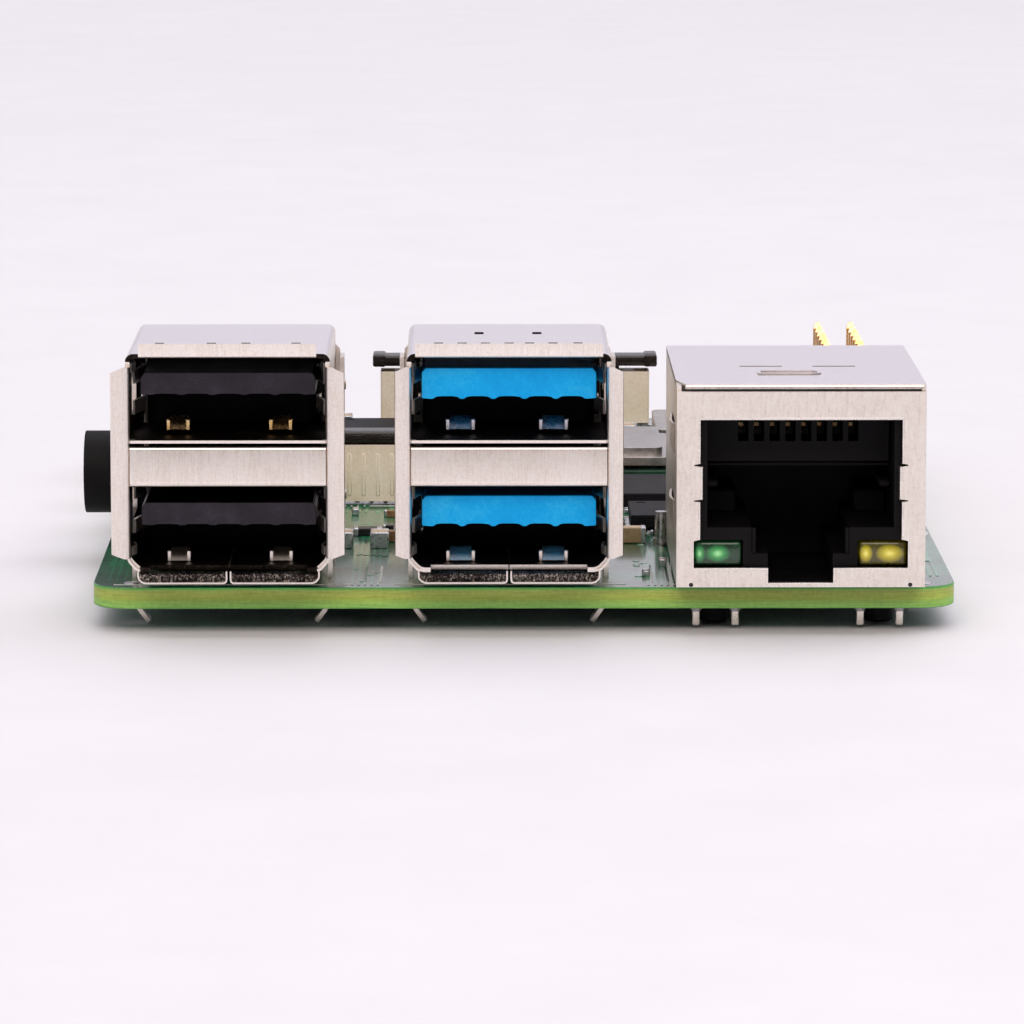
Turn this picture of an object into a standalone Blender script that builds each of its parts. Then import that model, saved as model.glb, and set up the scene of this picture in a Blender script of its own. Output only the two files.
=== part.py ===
import math

import bmesh
import bpy
from mathutils import Matrix, Vector

# Single board computer. Metres, +Z up. The port end faces -Y and the header is on the +X side.
# Z = 0 is the plane that the lead ends rest on. Sizes named ..._ABOVE count from the board's upper
# face, ..._FROM_LEFT, ..._FROM_RIGHT and ..._FROM_REAR from the board's edges.

# Shared sizes
GAP = 0.0003
SHEET = 0.0003
CUT_PAST = 0.001

# Board
BOARD_WIDTH = 0.056
BOARD_LENGTH = 0.085
BOARD_THICKNESS = 0.0014
BOARD_CORNER = 0.003
LEAD_TAIL = 0.00145
HOLE_RADIUS = 0.00135
HOLE_EDGE_INSET = 0.0035
HOLE_SPACING_Y = 0.058
PAD_RADIUS = 0.0031
PAD_THICKNESS = 0.00005

# Twin-stack USB connectors
USB_BLACK_FROM_LEFT = 0.009
USB_SPACING = 0.018
USB_OVERHANG = 0.0028
USB_WIDTH = 0.0131
USB_DEPTH = 0.0172
USB_FLOOR_ABOVE = 0.00135
USB_ROOF_ABOVE = 0.01547
USB_CORNER = 0.0009
USB_FLANGE = 0.00085
USB_FLANGE_DEPTH = 0.0012
USB_FLANGE_LOW_ABOVE = 0.0023
USB_FLANGE_HIGH_ABOVE = 0.01465
USB_LIP_HALF_WIDTH = 0.00565
USB_LIP = 0.00072
USB_DIVIDER_LOW_ABOVE = 0.0069
USB_DIVIDER_FACE_ABOVE = 0.00965
USB_DIVIDER_HIGH_ABOVE = 0.0102
USB_DIVIDER_STEP = 0.0004
USB_INSULATOR_DEPTH = 0.0074
USB_TONGUE_HALF_WIDTH = 0.0056
USB_TONGUE_THICKNESS = 0.002
USB_TONGUE_RECESS = 0.0014
USB_TONGUE_UPPER_ABOVE = 0.01245
USB_TONGUE_LOWER_ABOVE = 0.0042
USB_CONTACTS_X = (-0.0035, -0.001, 0.001, 0.0035)
USB_CONTACT_GROOVE = 0.001
USB_CONTACT_GROOVE_DEPTH = 0.0004
USB_LEG_WIDTH = 0.0012
USB_LEGS_FROM_FRONT = (0.0072, 0.0141)
USB_COVER_TAB = 0.002
USB_COVER_LOW_ABOVE = 0.0023
USB_COVER_HIGH_ABOVE = 0.0142

# Network jack
ETHERNET_FROM_RIGHT = 0.01025
ETHERNET_OVERHANG = 0.002
ETHERNET_WIDTH = 0.016
ETHERNET_DEPTH = 0.0213
ETHERNET_ROOF_ABOVE = 0.01345
MOUTH_HALF_WIDTH = 0.00647
MOUTH_LOW_ABOVE = 0.00156
MOUTH_HIGH_ABOVE = 0.01114
LAMP_WINDOW_HALF_WIDTH = 0.00688
LAMP_WINDOW_HIGH_ABOVE = 0.0033
NOTCH_HALF_WIDTH = 0.00209
NOTCH_LOW_ABOVE = 0.0006
HOUSING_DEPTH = 0.013
CAVITY_DEPTH = 0.0124
CAVITY_HALF_WIDTH = 0.006
CAVITY_LOW_ABOVE = 0.0041
CAVITY_HIGH_ABOVE = 0.0112
LEDGE_HALF_WIDTH = 0.00313
LEDGE_ABOVE = 0.0024
LAMP_OUTER = 0.0069
LAMP_INNER = 0.00375
LAMP_LOW_ABOVE = 0.0016
LAMP_HIGH_ABOVE = 0.0032
LAMP_LENGTH = 0.0036
LAMP_LEADS = (0.00406, 0.0066)
LAMP_LEAD = 0.0005
LAMP_LEAD_FROM_FRONT = 0.0035
PEG_RADIUS = 0.001
PEG_X = 0.00535
PEG_FROM_FRONT = 0.0055
PEG_BELOW = 0.00275
ETHERNET_LEG_FROM_FRONT = 0.0115
ETHERNET_LEG_WIDTH = 0.0012
CONTACT_COUNT = 8
CONTACT_PITCH = 0.00102
CONTACT_WIDTH = 0.0003
CONTACT_CLEARANCE = 0.00012
CONTACT_THICKNESS = 0.0003
CONTACT_ROOT_ABOVE = 0.0103
CONTACT_BEND_ABOVE = 0.0101
CONTACT_TIP_ABOVE = 0.00895
CONTACT_ROOT_FROM_FRONT = 0.0042
CONTACT_BEND_FROM_FRONT = 0.0075
CONTACT_TIP_FROM_FRONT = 0.0123
COMB_HALF_WIDTH = 0.00495
COMB_FRONT = 0.0039
COMB_BACK = 0.0073
COMB_LOW_ABOVE = 0.0092
COMB_HIGH_ABOVE = 0.0109
COMB_ROOF = 0.00025

# Connectors along the -X edge
JACK_FROM_REAR = 0.054
JACK_WIDTH = 0.007
JACK_DEPTH = 0.0125
JACK_ROOF_ABOVE = 0.0061
JACK_AXIS_ABOVE = 0.0033
JACK_NOSE_RADIUS = 0.00285
JACK_NOSE_LENGTH = 0.0022
JACK_BORE_RADIUS = 0.00175
JACK_BORE_DEPTH = 0.0125
USB_C_FROM_REAR = 0.0112
USB_C_WIDTH = 0.009
USB_C_HEIGHT = 0.0032
USB_C_DEPTH = 0.0073
USB_C_CORNER = 0.0013
VIDEOS_FROM_REAR = (0.026, 0.0395)
VIDEO_WIDTH = 0.0065
VIDEO_HEIGHT = 0.003
VIDEO_DEPTH = 0.0075
VIDEO_TAPER = 0.0007
EDGE_OVERHANG = 0.001

# Flex-cable connectors
CAMERA_FROM_LEFT = 0.0115
CAMERA_FROM_REAR = 0.0465
DISPLAY_FROM_LEFT = 0.028
DISPLAY_FROM_REAR = 0.004
FLEX_HALF_LENGTH = 0.011
FLEX_DEPTH = 0.0028
FLEX_BODY_ABOVE = 0.0043
FLEX_TOP_ABOVE = 0.0055
FLEX_SLOT_HALF_LENGTH = 0.0083
FLEX_SLOT_FLOOR_ABOVE = 0.0012
FLEX_SLOT_FRONT = 0.00055
FLEX_SLOT_BACK = 0.00095
FLEX_TONGUE = 0.0005
FLEX_TONGUE_LOW_ABOVE = 0.0022
FLEX_ARM_LOW_ABOVE = 0.0032
FLEX_ARM_HALF_DEPTH = 0.0006

# Pin headers
PIN_PITCH = 0.00254
PIN_SIDE = 0.00064
PIN_TOP_ABOVE = 0.0085
HEADER_BODY = 0.00254
HEADER_ROWS = 20
SMALL_HEADER_FROM_RIGHT = 0.01
SMALL_HEADER_FROM_REAR = 0.0602
SMALL_HEADER_ROWS = 2
PIN_HOLE_RADIUS = 0.00085

# Memory-card slot below the board
CARD_SLOT_WIDTH = 0.014
CARD_SLOT_DEPTH = 0.0145
CARD_SLOT_REAR_INSET = 0.0002
CARD_SLOT_WALL = 0.0002
CARD_BASE_THICKNESS = 0.0003

# Chips: from left, from rear, width, length, height
MEMORY = (0.032, 0.0455, 0.015, 0.010, 0.0009)
USB_CONTROLLER = (0.027, 0.062, 0.008, 0.008, 0.0009)
ETHERNET_CONTROLLER = (0.039, 0.0575, 0.007, 0.007, 0.0009)
POWER_CONTROLLER = (0.0175, 0.012, 0.006, 0.006, 0.0009)
CRYSTAL = (0.0205, 0.023, 0.0025, 0.0032, 0.0007)
PROCESSOR_FROM_LEFT = 0.0325
PROCESSOR_FROM_REAR = 0.02925
PROCESSOR_SIDE = 0.015
PROCESSOR_THICKNESS = 0.0006
LID_SIDE = 0.0136
LID_THICKNESS = 0.0012
LID_CORNER = 0.00025
CAN_FROM_RIGHT = 0.0125
CAN_FROM_REAR = 0.014
CAN_WIDTH = 0.010
CAN_LENGTH = 0.012
CAN_HEIGHT = 0.0014
INDUCTOR_FROM_LEFT = 0.0115
INDUCTORS_FROM_REAR = (0.0155, 0.0095)
INDUCTOR_SIDE = 0.004
INDUCTOR_HEIGHT = 0.002
INDUCTOR_CORNER = 0.0004
STATUS_LAMPS_FROM_LEFT = (0.0075, 0.0115)
STATUS_LAMPS_FROM_REAR = 0.002
STATUS_LAMP_SIZE = (0.0016, 0.0008, 0.0006)

BOARD_BOTTOM = LEAD_TAIL
BOARD_TOP = BOARD_BOTTOM + BOARD_THICKNESS
BOARD_FRONT = -BOARD_LENGTH / 2
BOARD_REAR = BOARD_LENGTH / 2
BOARD_LEFT = -BOARD_WIDTH / 2
BOARD_RIGHT = BOARD_WIDTH / 2
HOLE_X = BOARD_RIGHT - HOLE_EDGE_INSET
HOLE_REAR_Y = BOARD_REAR - HOLE_EDGE_INSET
ETHERNET_X = BOARD_RIGHT - ETHERNET_FROM_RIGHT
JACK_Y = BOARD_REAR - JACK_FROM_REAR
USB_C_Y = BOARD_REAR - USB_C_FROM_REAR


def clear_scene():
    for item in list(bpy.data.objects):
        bpy.data.objects.remove(item, do_unlink=True)


def new_collection(name):
    made = bpy.data.collections.new(name)
    bpy.context.scene.collection.children.link(made)
    return made


def add_origin():
    # The sizes below count from the board's centre. The part's origin is the middle of its whole
    # outline, which the jack's nose and the USB shields widen on two sides.
    made = bpy.data.objects.new("board_centre", None)
    made.location = (JACK_NOSE_LENGTH / 2, USB_OVERHANG / 2, 0)
    computer.objects.link(made)
    return made


clear_scene()
computer = new_collection("single_board_computer")
helpers = new_collection("cutters")
helpers.hide_render = True
board_centre = add_origin()
board_cuts = []


def look(name, colour, roughness, metallic=0.0):
    made = bpy.data.materials.new(name)
    made.use_nodes = True
    shader = made.node_tree.nodes["Principled BSDF"]
    shader.inputs["Base Color"].default_value = (*colour, 1)
    shader.inputs["Roughness"].default_value = roughness
    shader.inputs["Metallic"].default_value = metallic
    made.diffuse_color = (*colour, 1)
    return made


GREEN_BOARD = look("solder_mask", (0.02, 0.16, 0.07), 0.35)
NICKEL = look("nickel_plate", (0.76, 0.70, 0.66), 0.3, 1.0)
BLACK_PLASTIC = look("black_plastic", (0.015, 0.014, 0.017), 0.4)
BLUE_PLASTIC = look("blue_plastic", (0.01, 0.32, 0.85), 0.4)
CREAM_PLASTIC = look("cream_plastic", (0.69, 0.58, 0.42), 0.5)
DARK_LATCH = look("dark_plastic", (0.03, 0.02, 0.022), 0.45)
GOLD = look("gold_plate", (0.83, 0.6, 0.25), 0.3, 1.0)
GREEN_LAMP = look("green_lamp", (0.05, 0.32, 0.1), 0.25)
YELLOW_LAMP = look("yellow_lamp", (0.55, 0.45, 0.03), 0.25)
CHIP = look("chip_epoxy", (0.02, 0.02, 0.022), 0.5)
LID_METAL = look("lid_metal", (0.6, 0.6, 0.61), 0.35, 1.0)
RED_LAMP = look("red_lamp", (0.5, 0.02, 0.02), 0.3)
FERRITE = look("ferrite", (0.06, 0.06, 0.065), 0.6)


def above(height):
    return BOARD_TOP + height


def add_object(name, mesh, place, material):
    # A shape without a material is a helper, which stays out of the model.
    made = bpy.data.objects.new(name, mesh)
    made.location = place
    made.parent = board_centre
    if material:
        mesh.materials.append(material)
        computer.objects.link(made)
    else:
        made.hide_render = True
        made.display_type = "WIRE"
        helpers.objects.link(made)
    return made


def box(name, low, high, material=None, radius=0, along=None, steps=2):
    # along names the axis whose four edges are rounded; without it every edge is.
    low, high = Vector(low), Vector(high)
    shape = bmesh.new()
    bmesh.ops.create_cube(shape, size=1)
    bmesh.ops.scale(shape, vec=high - low, verts=shape.verts)
    if radius:
        edges = list(shape.edges)
        if along:
            axis = "XYZ".index(along)
            edges = [e for e in edges if e.verts[0].co[axis] * e.verts[1].co[axis] < 0]
        bmesh.ops.bevel(
            shape, geom=edges, offset=radius, segments=steps, profile=0.5, affect="EDGES"
        )
    mesh = bpy.data.meshes.new(name)
    shape.to_mesh(mesh)
    shape.free()
    return add_object(name, mesh, (low + high) / 2, material)


def cylinder(name, radius, start, end, material=None, sides=16):
    start, end = Vector(start), Vector(end)
    shape = bmesh.new()
    bmesh.ops.create_cone(
        shape, cap_ends=True, segments=sides, radius1=radius, radius2=radius,
        depth=(end - start).length,
    )
    turn = (end - start).to_track_quat("Z", "Y").to_matrix()
    bmesh.ops.rotate(shape, verts=shape.verts, cent=(0, 0, 0), matrix=turn)
    mesh = bpy.data.meshes.new(name)
    shape.to_mesh(mesh)
    shape.free()
    made = add_object(name, mesh, (start + end) / 2, material)
    if material:
        mesh.shade_smooth()
        mesh.set_sharp_from_angle(angle=math.radians(35))
    return made


def outline(name, points, along, start, end, material=None):
    # A flat outline, given in the two axes other than along, made as thick as start to end.
    curve = bpy.data.curves.new(name, "CURVE")
    curve.dimensions = "2D"
    curve.fill_mode = "BOTH"
    curve.extrude = abs(end - start) / 2
    line = curve.splines.new("POLY")
    line.points.add(len(points) - 1)
    for point, (u, v) in zip(line.points, points):
        point.co = (u, v, 0, 1)
    line.use_cyclic_u = True
    drawn = bpy.data.objects.new(name + "_outline", curve)
    computer.objects.link(drawn)
    bpy.context.view_layer.update()
    graph = bpy.context.evaluated_depsgraph_get()
    mesh = bpy.data.meshes.new_from_object(drawn.evaluated_get(graph))
    mesh.name = name
    bpy.data.objects.remove(drawn)
    turn = {
        "X": Matrix(((0, 0, 1), (1, 0, 0), (0, 1, 0))),
        "Y": Matrix(((1, 0, 0), (0, 0, -1), (0, 1, 0))),
        "Z": Matrix.Identity(3),
    }[along]
    mesh.transform(turn.to_4x4())
    shape = bmesh.new()
    shape.from_mesh(mesh)
    bmesh.ops.remove_doubles(shape, verts=shape.verts, dist=1e-6)
    bmesh.ops.recalc_face_normals(shape, faces=shape.faces)
    shape.to_mesh(mesh)
    shape.free()
    mesh.materials.clear()
    place = Vector((0, 0, 0))
    place["XYZ".index(along)] = (start + end) / 2
    return add_object(name, mesh, place, material)


def combine(target, operation, others):
    group = bpy.data.collections.new(target.name + "_" + operation.lower())
    helpers.children.link(group)
    for other in others:
        helpers.objects.unlink(other)
        group.objects.link(other)
    step = target.modifiers.new(operation.title(), "BOOLEAN")
    step.operation = operation
    step.solver = "EXACT"
    step.operand_type = "COLLECTION"
    step.collection = group


def subtract(target, *others):
    combine(target, "DIFFERENCE", others)


def unite(target, *others):
    combine(target, "UNION", others)


def lead(name, low_xy, high_xy, top, bottom=0.0):
    # A leg or lead that reaches the resting plane, and the opening it passes through the board in.
    (x0, y0), (x1, y1) = low_xy, high_xy
    board_cuts.append(
        box(
            name + "_opening",
            (x0 - GAP, y0 - GAP, BOARD_BOTTOM - CUT_PAST),
            (x1 + GAP, y1 + GAP, BOARD_TOP + CUT_PAST),
        )
    )
    return box(name, (x0, y0, bottom), (x1, y1, top))


def usb_shield(prefix, x):
    front = BOARD_FRONT - USB_OVERHANG
    back = front + USB_DEPTH
    half = USB_WIDTH / 2
    inner = half - SHEET
    floor = above(USB_FLOOR_ABOVE)
    roof = above(USB_ROOF_ABOVE)
    shield = box(
        prefix + "_shield", (x - half, front, floor), (x + half, back, roof), NICKEL,
        radius=USB_CORNER, along="Y",
    )
    hollow = box(
        prefix + "_hollow",
        (x - inner, front - CUT_PAST, floor + SHEET),
        (x + inner, back + CUT_PAST, roof - SHEET),
        radius=USB_CORNER - SHEET, along="Y",
    )
    # The floor ends where the insulator comes down to the board.
    insulator_front = back - USB_INSULATOR_DEPTH - GAP
    floor_end = box(
        prefix + "_floor_end",
        (x - inner, insulator_front, floor - CUT_PAST),
        (x + inner, back + CUT_PAST, floor + USB_CORNER),
    )
    subtract(shield, hollow, floor_end)
    added = []
    for side in (-1, 1):
        rim = [
            (inner, front + USB_FLANGE_DEPTH + SHEET),
            (half, front + USB_FLANGE_DEPTH + SHEET),
            (half + SHEET / 4, front + 2 * SHEET),
            (half + USB_FLANGE, front + SHEET),
            (half + USB_FLANGE, front),
            (inner + SHEET / 2, front + SHEET),
        ]
        added.append(
            outline(
                f"{prefix}_flange_{side}",
                [(x + side * u, v) for u, v in rim],
                "Z", above(USB_FLANGE_LOW_ABOVE), above(USB_FLANGE_HIGH_ABOVE),
            )
        )
        wall = sorted((x + side * inner, x + side * half))
        for number, from_front in enumerate(USB_LEGS_FROM_FRONT):
            y = front + from_front
            added.append(
                lead(
                    f"{prefix}_leg_{side}_{number}",
                    (wall[0], y - USB_LEG_WIDTH / 2),
                    (wall[1], y + USB_LEG_WIDTH / 2),
                    floor + 2 * USB_CORNER,
                )
            )
    for end, level in ((1, roof), (-1, floor)):
        lip = [
            (front + USB_FLANGE_DEPTH, level - end * SHEET),
            (front + USB_FLANGE_DEPTH, level),
            (front + 2 * SHEET, level + end * SHEET / 4),
            (front + SHEET, level + end * USB_LIP),
            (front, level + end * USB_LIP),
            (front + SHEET, level - end * SHEET / 2),
        ]
        added.append(
            outline(
                f"{prefix}_lip_{end}", lip, "X",
                x - USB_LIP_HALF_WIDTH, x + USB_LIP_HALF_WIDTH,
            )
        )
    unite(shield, *added)


def usb_rear_cover(prefix, x):
    back = BOARD_FRONT - USB_OVERHANG + USB_DEPTH
    reach = USB_WIDTH / 2 + GAP + SHEET
    cover = box(
        prefix + "_rear_cover",
        (x - reach, back - USB_COVER_TAB, above(USB_COVER_LOW_ABOVE)),
        (x + reach, back + GAP + SHEET, above(USB_COVER_HIGH_ABOVE)),
        NICKEL,
    )
    subtract(
        cover,
        box(
            prefix + "_cover_hollow",
            (x - reach + SHEET, back - USB_COVER_TAB - CUT_PAST, above(0)),
            (x + reach - SHEET, back + GAP, above(USB_ROOF_ABOVE)),
        ),
    )


def usb_divider(prefix, x):
    front = BOARD_FRONT - USB_OVERHANG
    back = front + USB_DEPTH - USB_INSULATOR_DEPTH - 2 * GAP
    half = USB_WIDTH / 2 - SHEET - GAP
    low = above(USB_DIVIDER_LOW_ABOVE)
    face = above(USB_DIVIDER_FACE_ABOVE)
    high = above(USB_DIVIDER_HIGH_ABOVE)
    divider = box(
        prefix + "_divider", (x - half, front + USB_DIVIDER_STEP, low), (x + half, back, high), NICKEL
    )
    unite(
        divider,
        box(prefix + "_divider_face", (x - half, front, low), (x + half, front + SHEET * 3, face)),
    )
    subtract(
        divider,
        box(
            prefix + "_divider_hollow",
            (x - half - CUT_PAST, front + USB_DIVIDER_STEP + SHEET, low + SHEET),
            (x + half + CUT_PAST, back + CUT_PAST, high - SHEET),
        ),
    )


def usb_insulator(prefix, x):
    back = BOARD_FRONT - USB_OVERHANG + USB_DEPTH
    half = USB_WIDTH / 2 - SHEET - GAP
    box(
        prefix + "_insulator",
        (x - half, back - USB_INSULATOR_DEPTH, above(GAP)),
        (x + half, back, above(USB_ROOF_ABOVE) - SHEET - GAP),
        BLACK_PLASTIC,
    )


def usb_tongue(name, x, low, material):
    front = BOARD_FRONT - USB_OVERHANG + USB_TONGUE_RECESS
    back = BOARD_FRONT - USB_OVERHANG + USB_DEPTH - USB_INSULATOR_DEPTH - GAP
    tongue = box(
        name,
        (x - USB_TONGUE_HALF_WIDTH, front, low),
        (x + USB_TONGUE_HALF_WIDTH, back, low + USB_TONGUE_THICKNESS),
        material, radius=SHEET, along="X", steps=1,
    )
    grooves = []
    for number, contact_x in enumerate(USB_CONTACTS_X):
        grooves.append(
            box(
                f"{name}_groove_{number}",
                (x + contact_x - USB_CONTACT_GROOVE / 2, front - CUT_PAST, low - CUT_PAST),
                (x + contact_x + USB_CONTACT_GROOVE / 2, back - GAP, low + USB_CONTACT_GROOVE_DEPTH),
            )
        )
    subtract(tongue, *grooves)


def usb_stack(prefix, x, tongue_material):
    usb_shield(prefix, x)
    usb_rear_cover(prefix, x)
    usb_divider(prefix, x)
    usb_insulator(prefix, x)
    usb_tongue(prefix + "_upper_tongue", x, above(USB_TONGUE_UPPER_ABOVE), tongue_material)
    usb_tongue(prefix + "_lower_tongue", x, above(USB_TONGUE_LOWER_ABOVE), tongue_material)


def ethernet_shield():
    x = ETHERNET_X
    front = BOARD_FRONT - ETHERNET_OVERHANG
    back = front + ETHERNET_DEPTH
    half = ETHERNET_WIDTH / 2
    roof = above(ETHERNET_ROOF_ABOVE)
    plate = (front - CUT_PAST, front + SHEET + GAP / 2)
    shield = box(
        "ethernet_shield", (x - half, front, above(GAP)), (x + half, back, roof), NICKEL
    )
    subtract(
        shield,
        box(
            "ethernet_hollow",
            (x - half + SHEET, front + SHEET, above(-CUT_PAST)),
            (x + half - SHEET, back - SHEET, roof - SHEET),
        ),
        box(
            "ethernet_mouth",
            (x - MOUTH_HALF_WIDTH, plate[0], above(LAMP_WINDOW_HIGH_ABOVE - GAP)),
            (x + MOUTH_HALF_WIDTH, plate[1], above(MOUTH_HIGH_ABOVE)),
        ),
        box(
            "ethernet_lamp_window",
            (x - LAMP_WINDOW_HALF_WIDTH, plate[0], above(MOUTH_LOW_ABOVE)),
            (x + LAMP_WINDOW_HALF_WIDTH, plate[1], above(LAMP_WINDOW_HIGH_ABOVE)),
        ),
        box(
            "ethernet_notch",
            (x - NOTCH_HALF_WIDTH, plate[0], above(NOTCH_LOW_ABOVE)),
            (x + NOTCH_HALF_WIDTH, plate[1], above(MOUTH_LOW_ABOVE + GAP)),
        ),
    )
    legs = []
    y = front + ETHERNET_LEG_FROM_FRONT
    for side in (-1, 1):
        wall = sorted((x + side * half, x + side * (half - SHEET)))
        legs.append(
            lead(
                f"ethernet_leg_{side}",
                (wall[0], y - ETHERNET_LEG_WIDTH / 2),
                (wall[1], y + ETHERNET_LEG_WIDTH / 2),
                above(CUT_PAST),
            )
        )
    unite(shield, *legs)


def ethernet_housing():
    x = ETHERNET_X
    front = BOARD_FRONT - ETHERNET_OVERHANG + SHEET + GAP
    half = ETHERNET_WIDTH / 2 - SHEET - GAP
    housing = box(
        "ethernet_housing",
        (x - half, front, above(GAP)),
        (x + half, front + HOUSING_DEPTH, above(ETHERNET_ROOF_ABOVE) - SHEET - GAP),
        BLACK_PLASTIC,
    )
    cavity_back = front + CAVITY_DEPTH
    cuts = []
    for name, half_width, low, high in (
        ("cavity", CAVITY_HALF_WIDTH, CAVITY_LOW_ABOVE, CAVITY_HIGH_ABOVE),
        ("ledge", LEDGE_HALF_WIDTH, LEDGE_ABOVE, CAVITY_LOW_ABOVE + GAP),
        ("channel", NOTCH_HALF_WIDTH, NOTCH_LOW_ABOVE, LEDGE_ABOVE + GAP),
    ):
        cuts.append(
            box(
                "ethernet_" + name,
                (x - half_width, front - CUT_PAST, above(low)),
                (x + half_width, cavity_back, above(high)),
            )
        )
    pegs = []
    peg_y = BOARD_FRONT - ETHERNET_OVERHANG + PEG_FROM_FRONT
    lamp_back = BOARD_FRONT - ETHERNET_OVERHANG + SHEET + LAMP_LENGTH + 2 * GAP
    for side in (-1, 1):
        pocket = sorted((x + side * (LAMP_INNER - GAP), x + side * (half + CUT_PAST)))
        cuts.append(
            box(
                f"ethernet_lamp_pocket_{side}",
                (pocket[0], front - CUT_PAST, above(0)),
                (pocket[1], lamp_back, above(LAMP_HIGH_ABOVE + GAP)),
            )
        )
        peg_x = x + side * PEG_X
        pegs.append(
            cylinder(
                f"ethernet_peg_{side}", PEG_RADIUS,
                (peg_x, peg_y, above(-PEG_BELOW)), (peg_x, peg_y, above(CUT_PAST)), sides=12,
            )
        )
        board_cuts.append(
            cylinder(
                f"ethernet_peg_hole_{side}", PEG_RADIUS + GAP,
                (peg_x, peg_y, BOARD_BOTTOM - CUT_PAST), (peg_x, peg_y, BOARD_TOP + CUT_PAST),
                sides=12,
            )
        )
    subtract(housing, *cuts)
    unite(housing, *pegs)


def ethernet_lamp(name, side, material):
    front = BOARD_FRONT - ETHERNET_OVERHANG + SHEET + GAP
    lens = sorted((ETHERNET_X + side * LAMP_INNER, ETHERNET_X + side * LAMP_OUTER))
    lamp = box(
        name,
        (lens[0], front, above(LAMP_LOW_ABOVE)),
        (lens[1], front + LAMP_LENGTH, above(LAMP_HIGH_ABOVE)),
        material, radius=GAP, along="Y",
    )
    y = BOARD_FRONT - ETHERNET_OVERHANG + LAMP_LEAD_FROM_FRONT
    leads = []
    for number, offset in enumerate(LAMP_LEADS):
        lead_x = ETHERNET_X + side * offset
        leads.append(
            lead(
                f"{name}_lead_{number}",
                (lead_x - LAMP_LEAD / 2, y - LAMP_LEAD / 2),
                (lead_x + LAMP_LEAD / 2, y + LAMP_LEAD / 2),
                above(LAMP_LOW_ABOVE + GAP),
            )
        )
    unite(lamp, *leads)


def ethernet_contacts():
    front = BOARD_FRONT - ETHERNET_OVERHANG
    comb = box(
        "ethernet_contact_comb",
        (ETHERNET_X - COMB_HALF_WIDTH, front + COMB_FRONT, above(COMB_LOW_ABOVE)),
        (ETHERNET_X + COMB_HALF_WIDTH, front + COMB_BACK, above(COMB_HIGH_ABOVE)),
        BLACK_PLASTIC,
    )
    slots = []
    slot_half = CONTACT_WIDTH / 2 + CONTACT_CLEARANCE
    levels = (
        (CONTACT_ROOT_FROM_FRONT, CONTACT_ROOT_ABOVE),
        (CONTACT_BEND_FROM_FRONT, CONTACT_BEND_ABOVE),
        (CONTACT_TIP_FROM_FRONT, CONTACT_TIP_ABOVE),
    )
    upper = [(front + y, above(z)) for y, z in levels]
    lower = [(y, z - CONTACT_THICKNESS) for y, z in reversed(upper)]
    for number in range(CONTACT_COUNT):
        x = ETHERNET_X + (number - (CONTACT_COUNT - 1) / 2) * CONTACT_PITCH
        slots.append(
            box(
                f"ethernet_comb_slot_{number + 1}",
                (x - slot_half, front + COMB_FRONT - CUT_PAST, above(COMB_LOW_ABOVE) - CUT_PAST),
                (x + slot_half, front + COMB_BACK + CUT_PAST, above(COMB_HIGH_ABOVE) - COMB_ROOF),
            )
        )
        outline(
            f"ethernet_contact_{number + 1}", upper + lower, "X",
            x - CONTACT_WIDTH / 2, x + CONTACT_WIDTH / 2, GOLD,
        )
    subtract(comb, *slots)


def ethernet_magnetics():
    front = BOARD_FRONT - ETHERNET_OVERHANG
    half = ETHERNET_WIDTH / 2 - SHEET - GAP
    box(
        "ethernet_magnetics",
        (ETHERNET_X - half, front + SHEET + GAP + HOUSING_DEPTH + GAP, above(GAP)),
        (
            ETHERNET_X + half,
            front + ETHERNET_DEPTH - SHEET - GAP,
            above(ETHERNET_ROOF_ABOVE) - SHEET - GAP,
        ),
        BLACK_PLASTIC,
    )


def audio_jack():
    axis = above(JACK_AXIS_ABOVE)
    jack = box(
        "audio_jack",
        (BOARD_LEFT, JACK_Y - JACK_WIDTH / 2, above(GAP)),
        (BOARD_LEFT + JACK_DEPTH, JACK_Y + JACK_WIDTH / 2, above(JACK_ROOF_ABOVE)),
        BLACK_PLASTIC, radius=GAP, along="X", steps=1,
    )
    nose_end = BOARD_LEFT - JACK_NOSE_LENGTH
    unite(
        jack,
        cylinder(
            "audio_jack_nose", JACK_NOSE_RADIUS,
            (nose_end, JACK_Y, axis), (BOARD_LEFT + CUT_PAST, JACK_Y, axis), sides=24,
        ),
    )
    subtract(
        jack,
        cylinder(
            "audio_jack_bore", JACK_BORE_RADIUS,
            (nose_end - CUT_PAST, JACK_Y, axis), (nose_end + JACK_BORE_DEPTH, JACK_Y, axis),
        ),
    )


def usb_c():
    outer = BOARD_LEFT - EDGE_OVERHANG
    low = above(GAP)
    high = low + USB_C_HEIGHT
    half = USB_C_WIDTH / 2
    shell = box(
        "usb_c_shell", (outer, USB_C_Y - half, low), (outer + USB_C_DEPTH, USB_C_Y + half, high),
        NICKEL, radius=USB_C_CORNER, along="X", steps=3,
    )
    subtract(
        shell,
        box(
            "usb_c_hollow",
            (outer - CUT_PAST, USB_C_Y - half + SHEET, low + SHEET),
            (outer + USB_C_DEPTH - SHEET, USB_C_Y + half - SHEET, high - SHEET),
            radius=USB_C_CORNER - SHEET, along="X", steps=3,
        ),
    )
    middle = (low + high) / 2
    box(
        "usb_c_tongue",
        (outer + 2 * GAP, USB_C_Y - half + 4 * SHEET, middle - SHEET),
        (outer + USB_C_DEPTH - SHEET - GAP, USB_C_Y + half - 4 * SHEET, middle + SHEET),
        BLACK_PLASTIC,
    )


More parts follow.
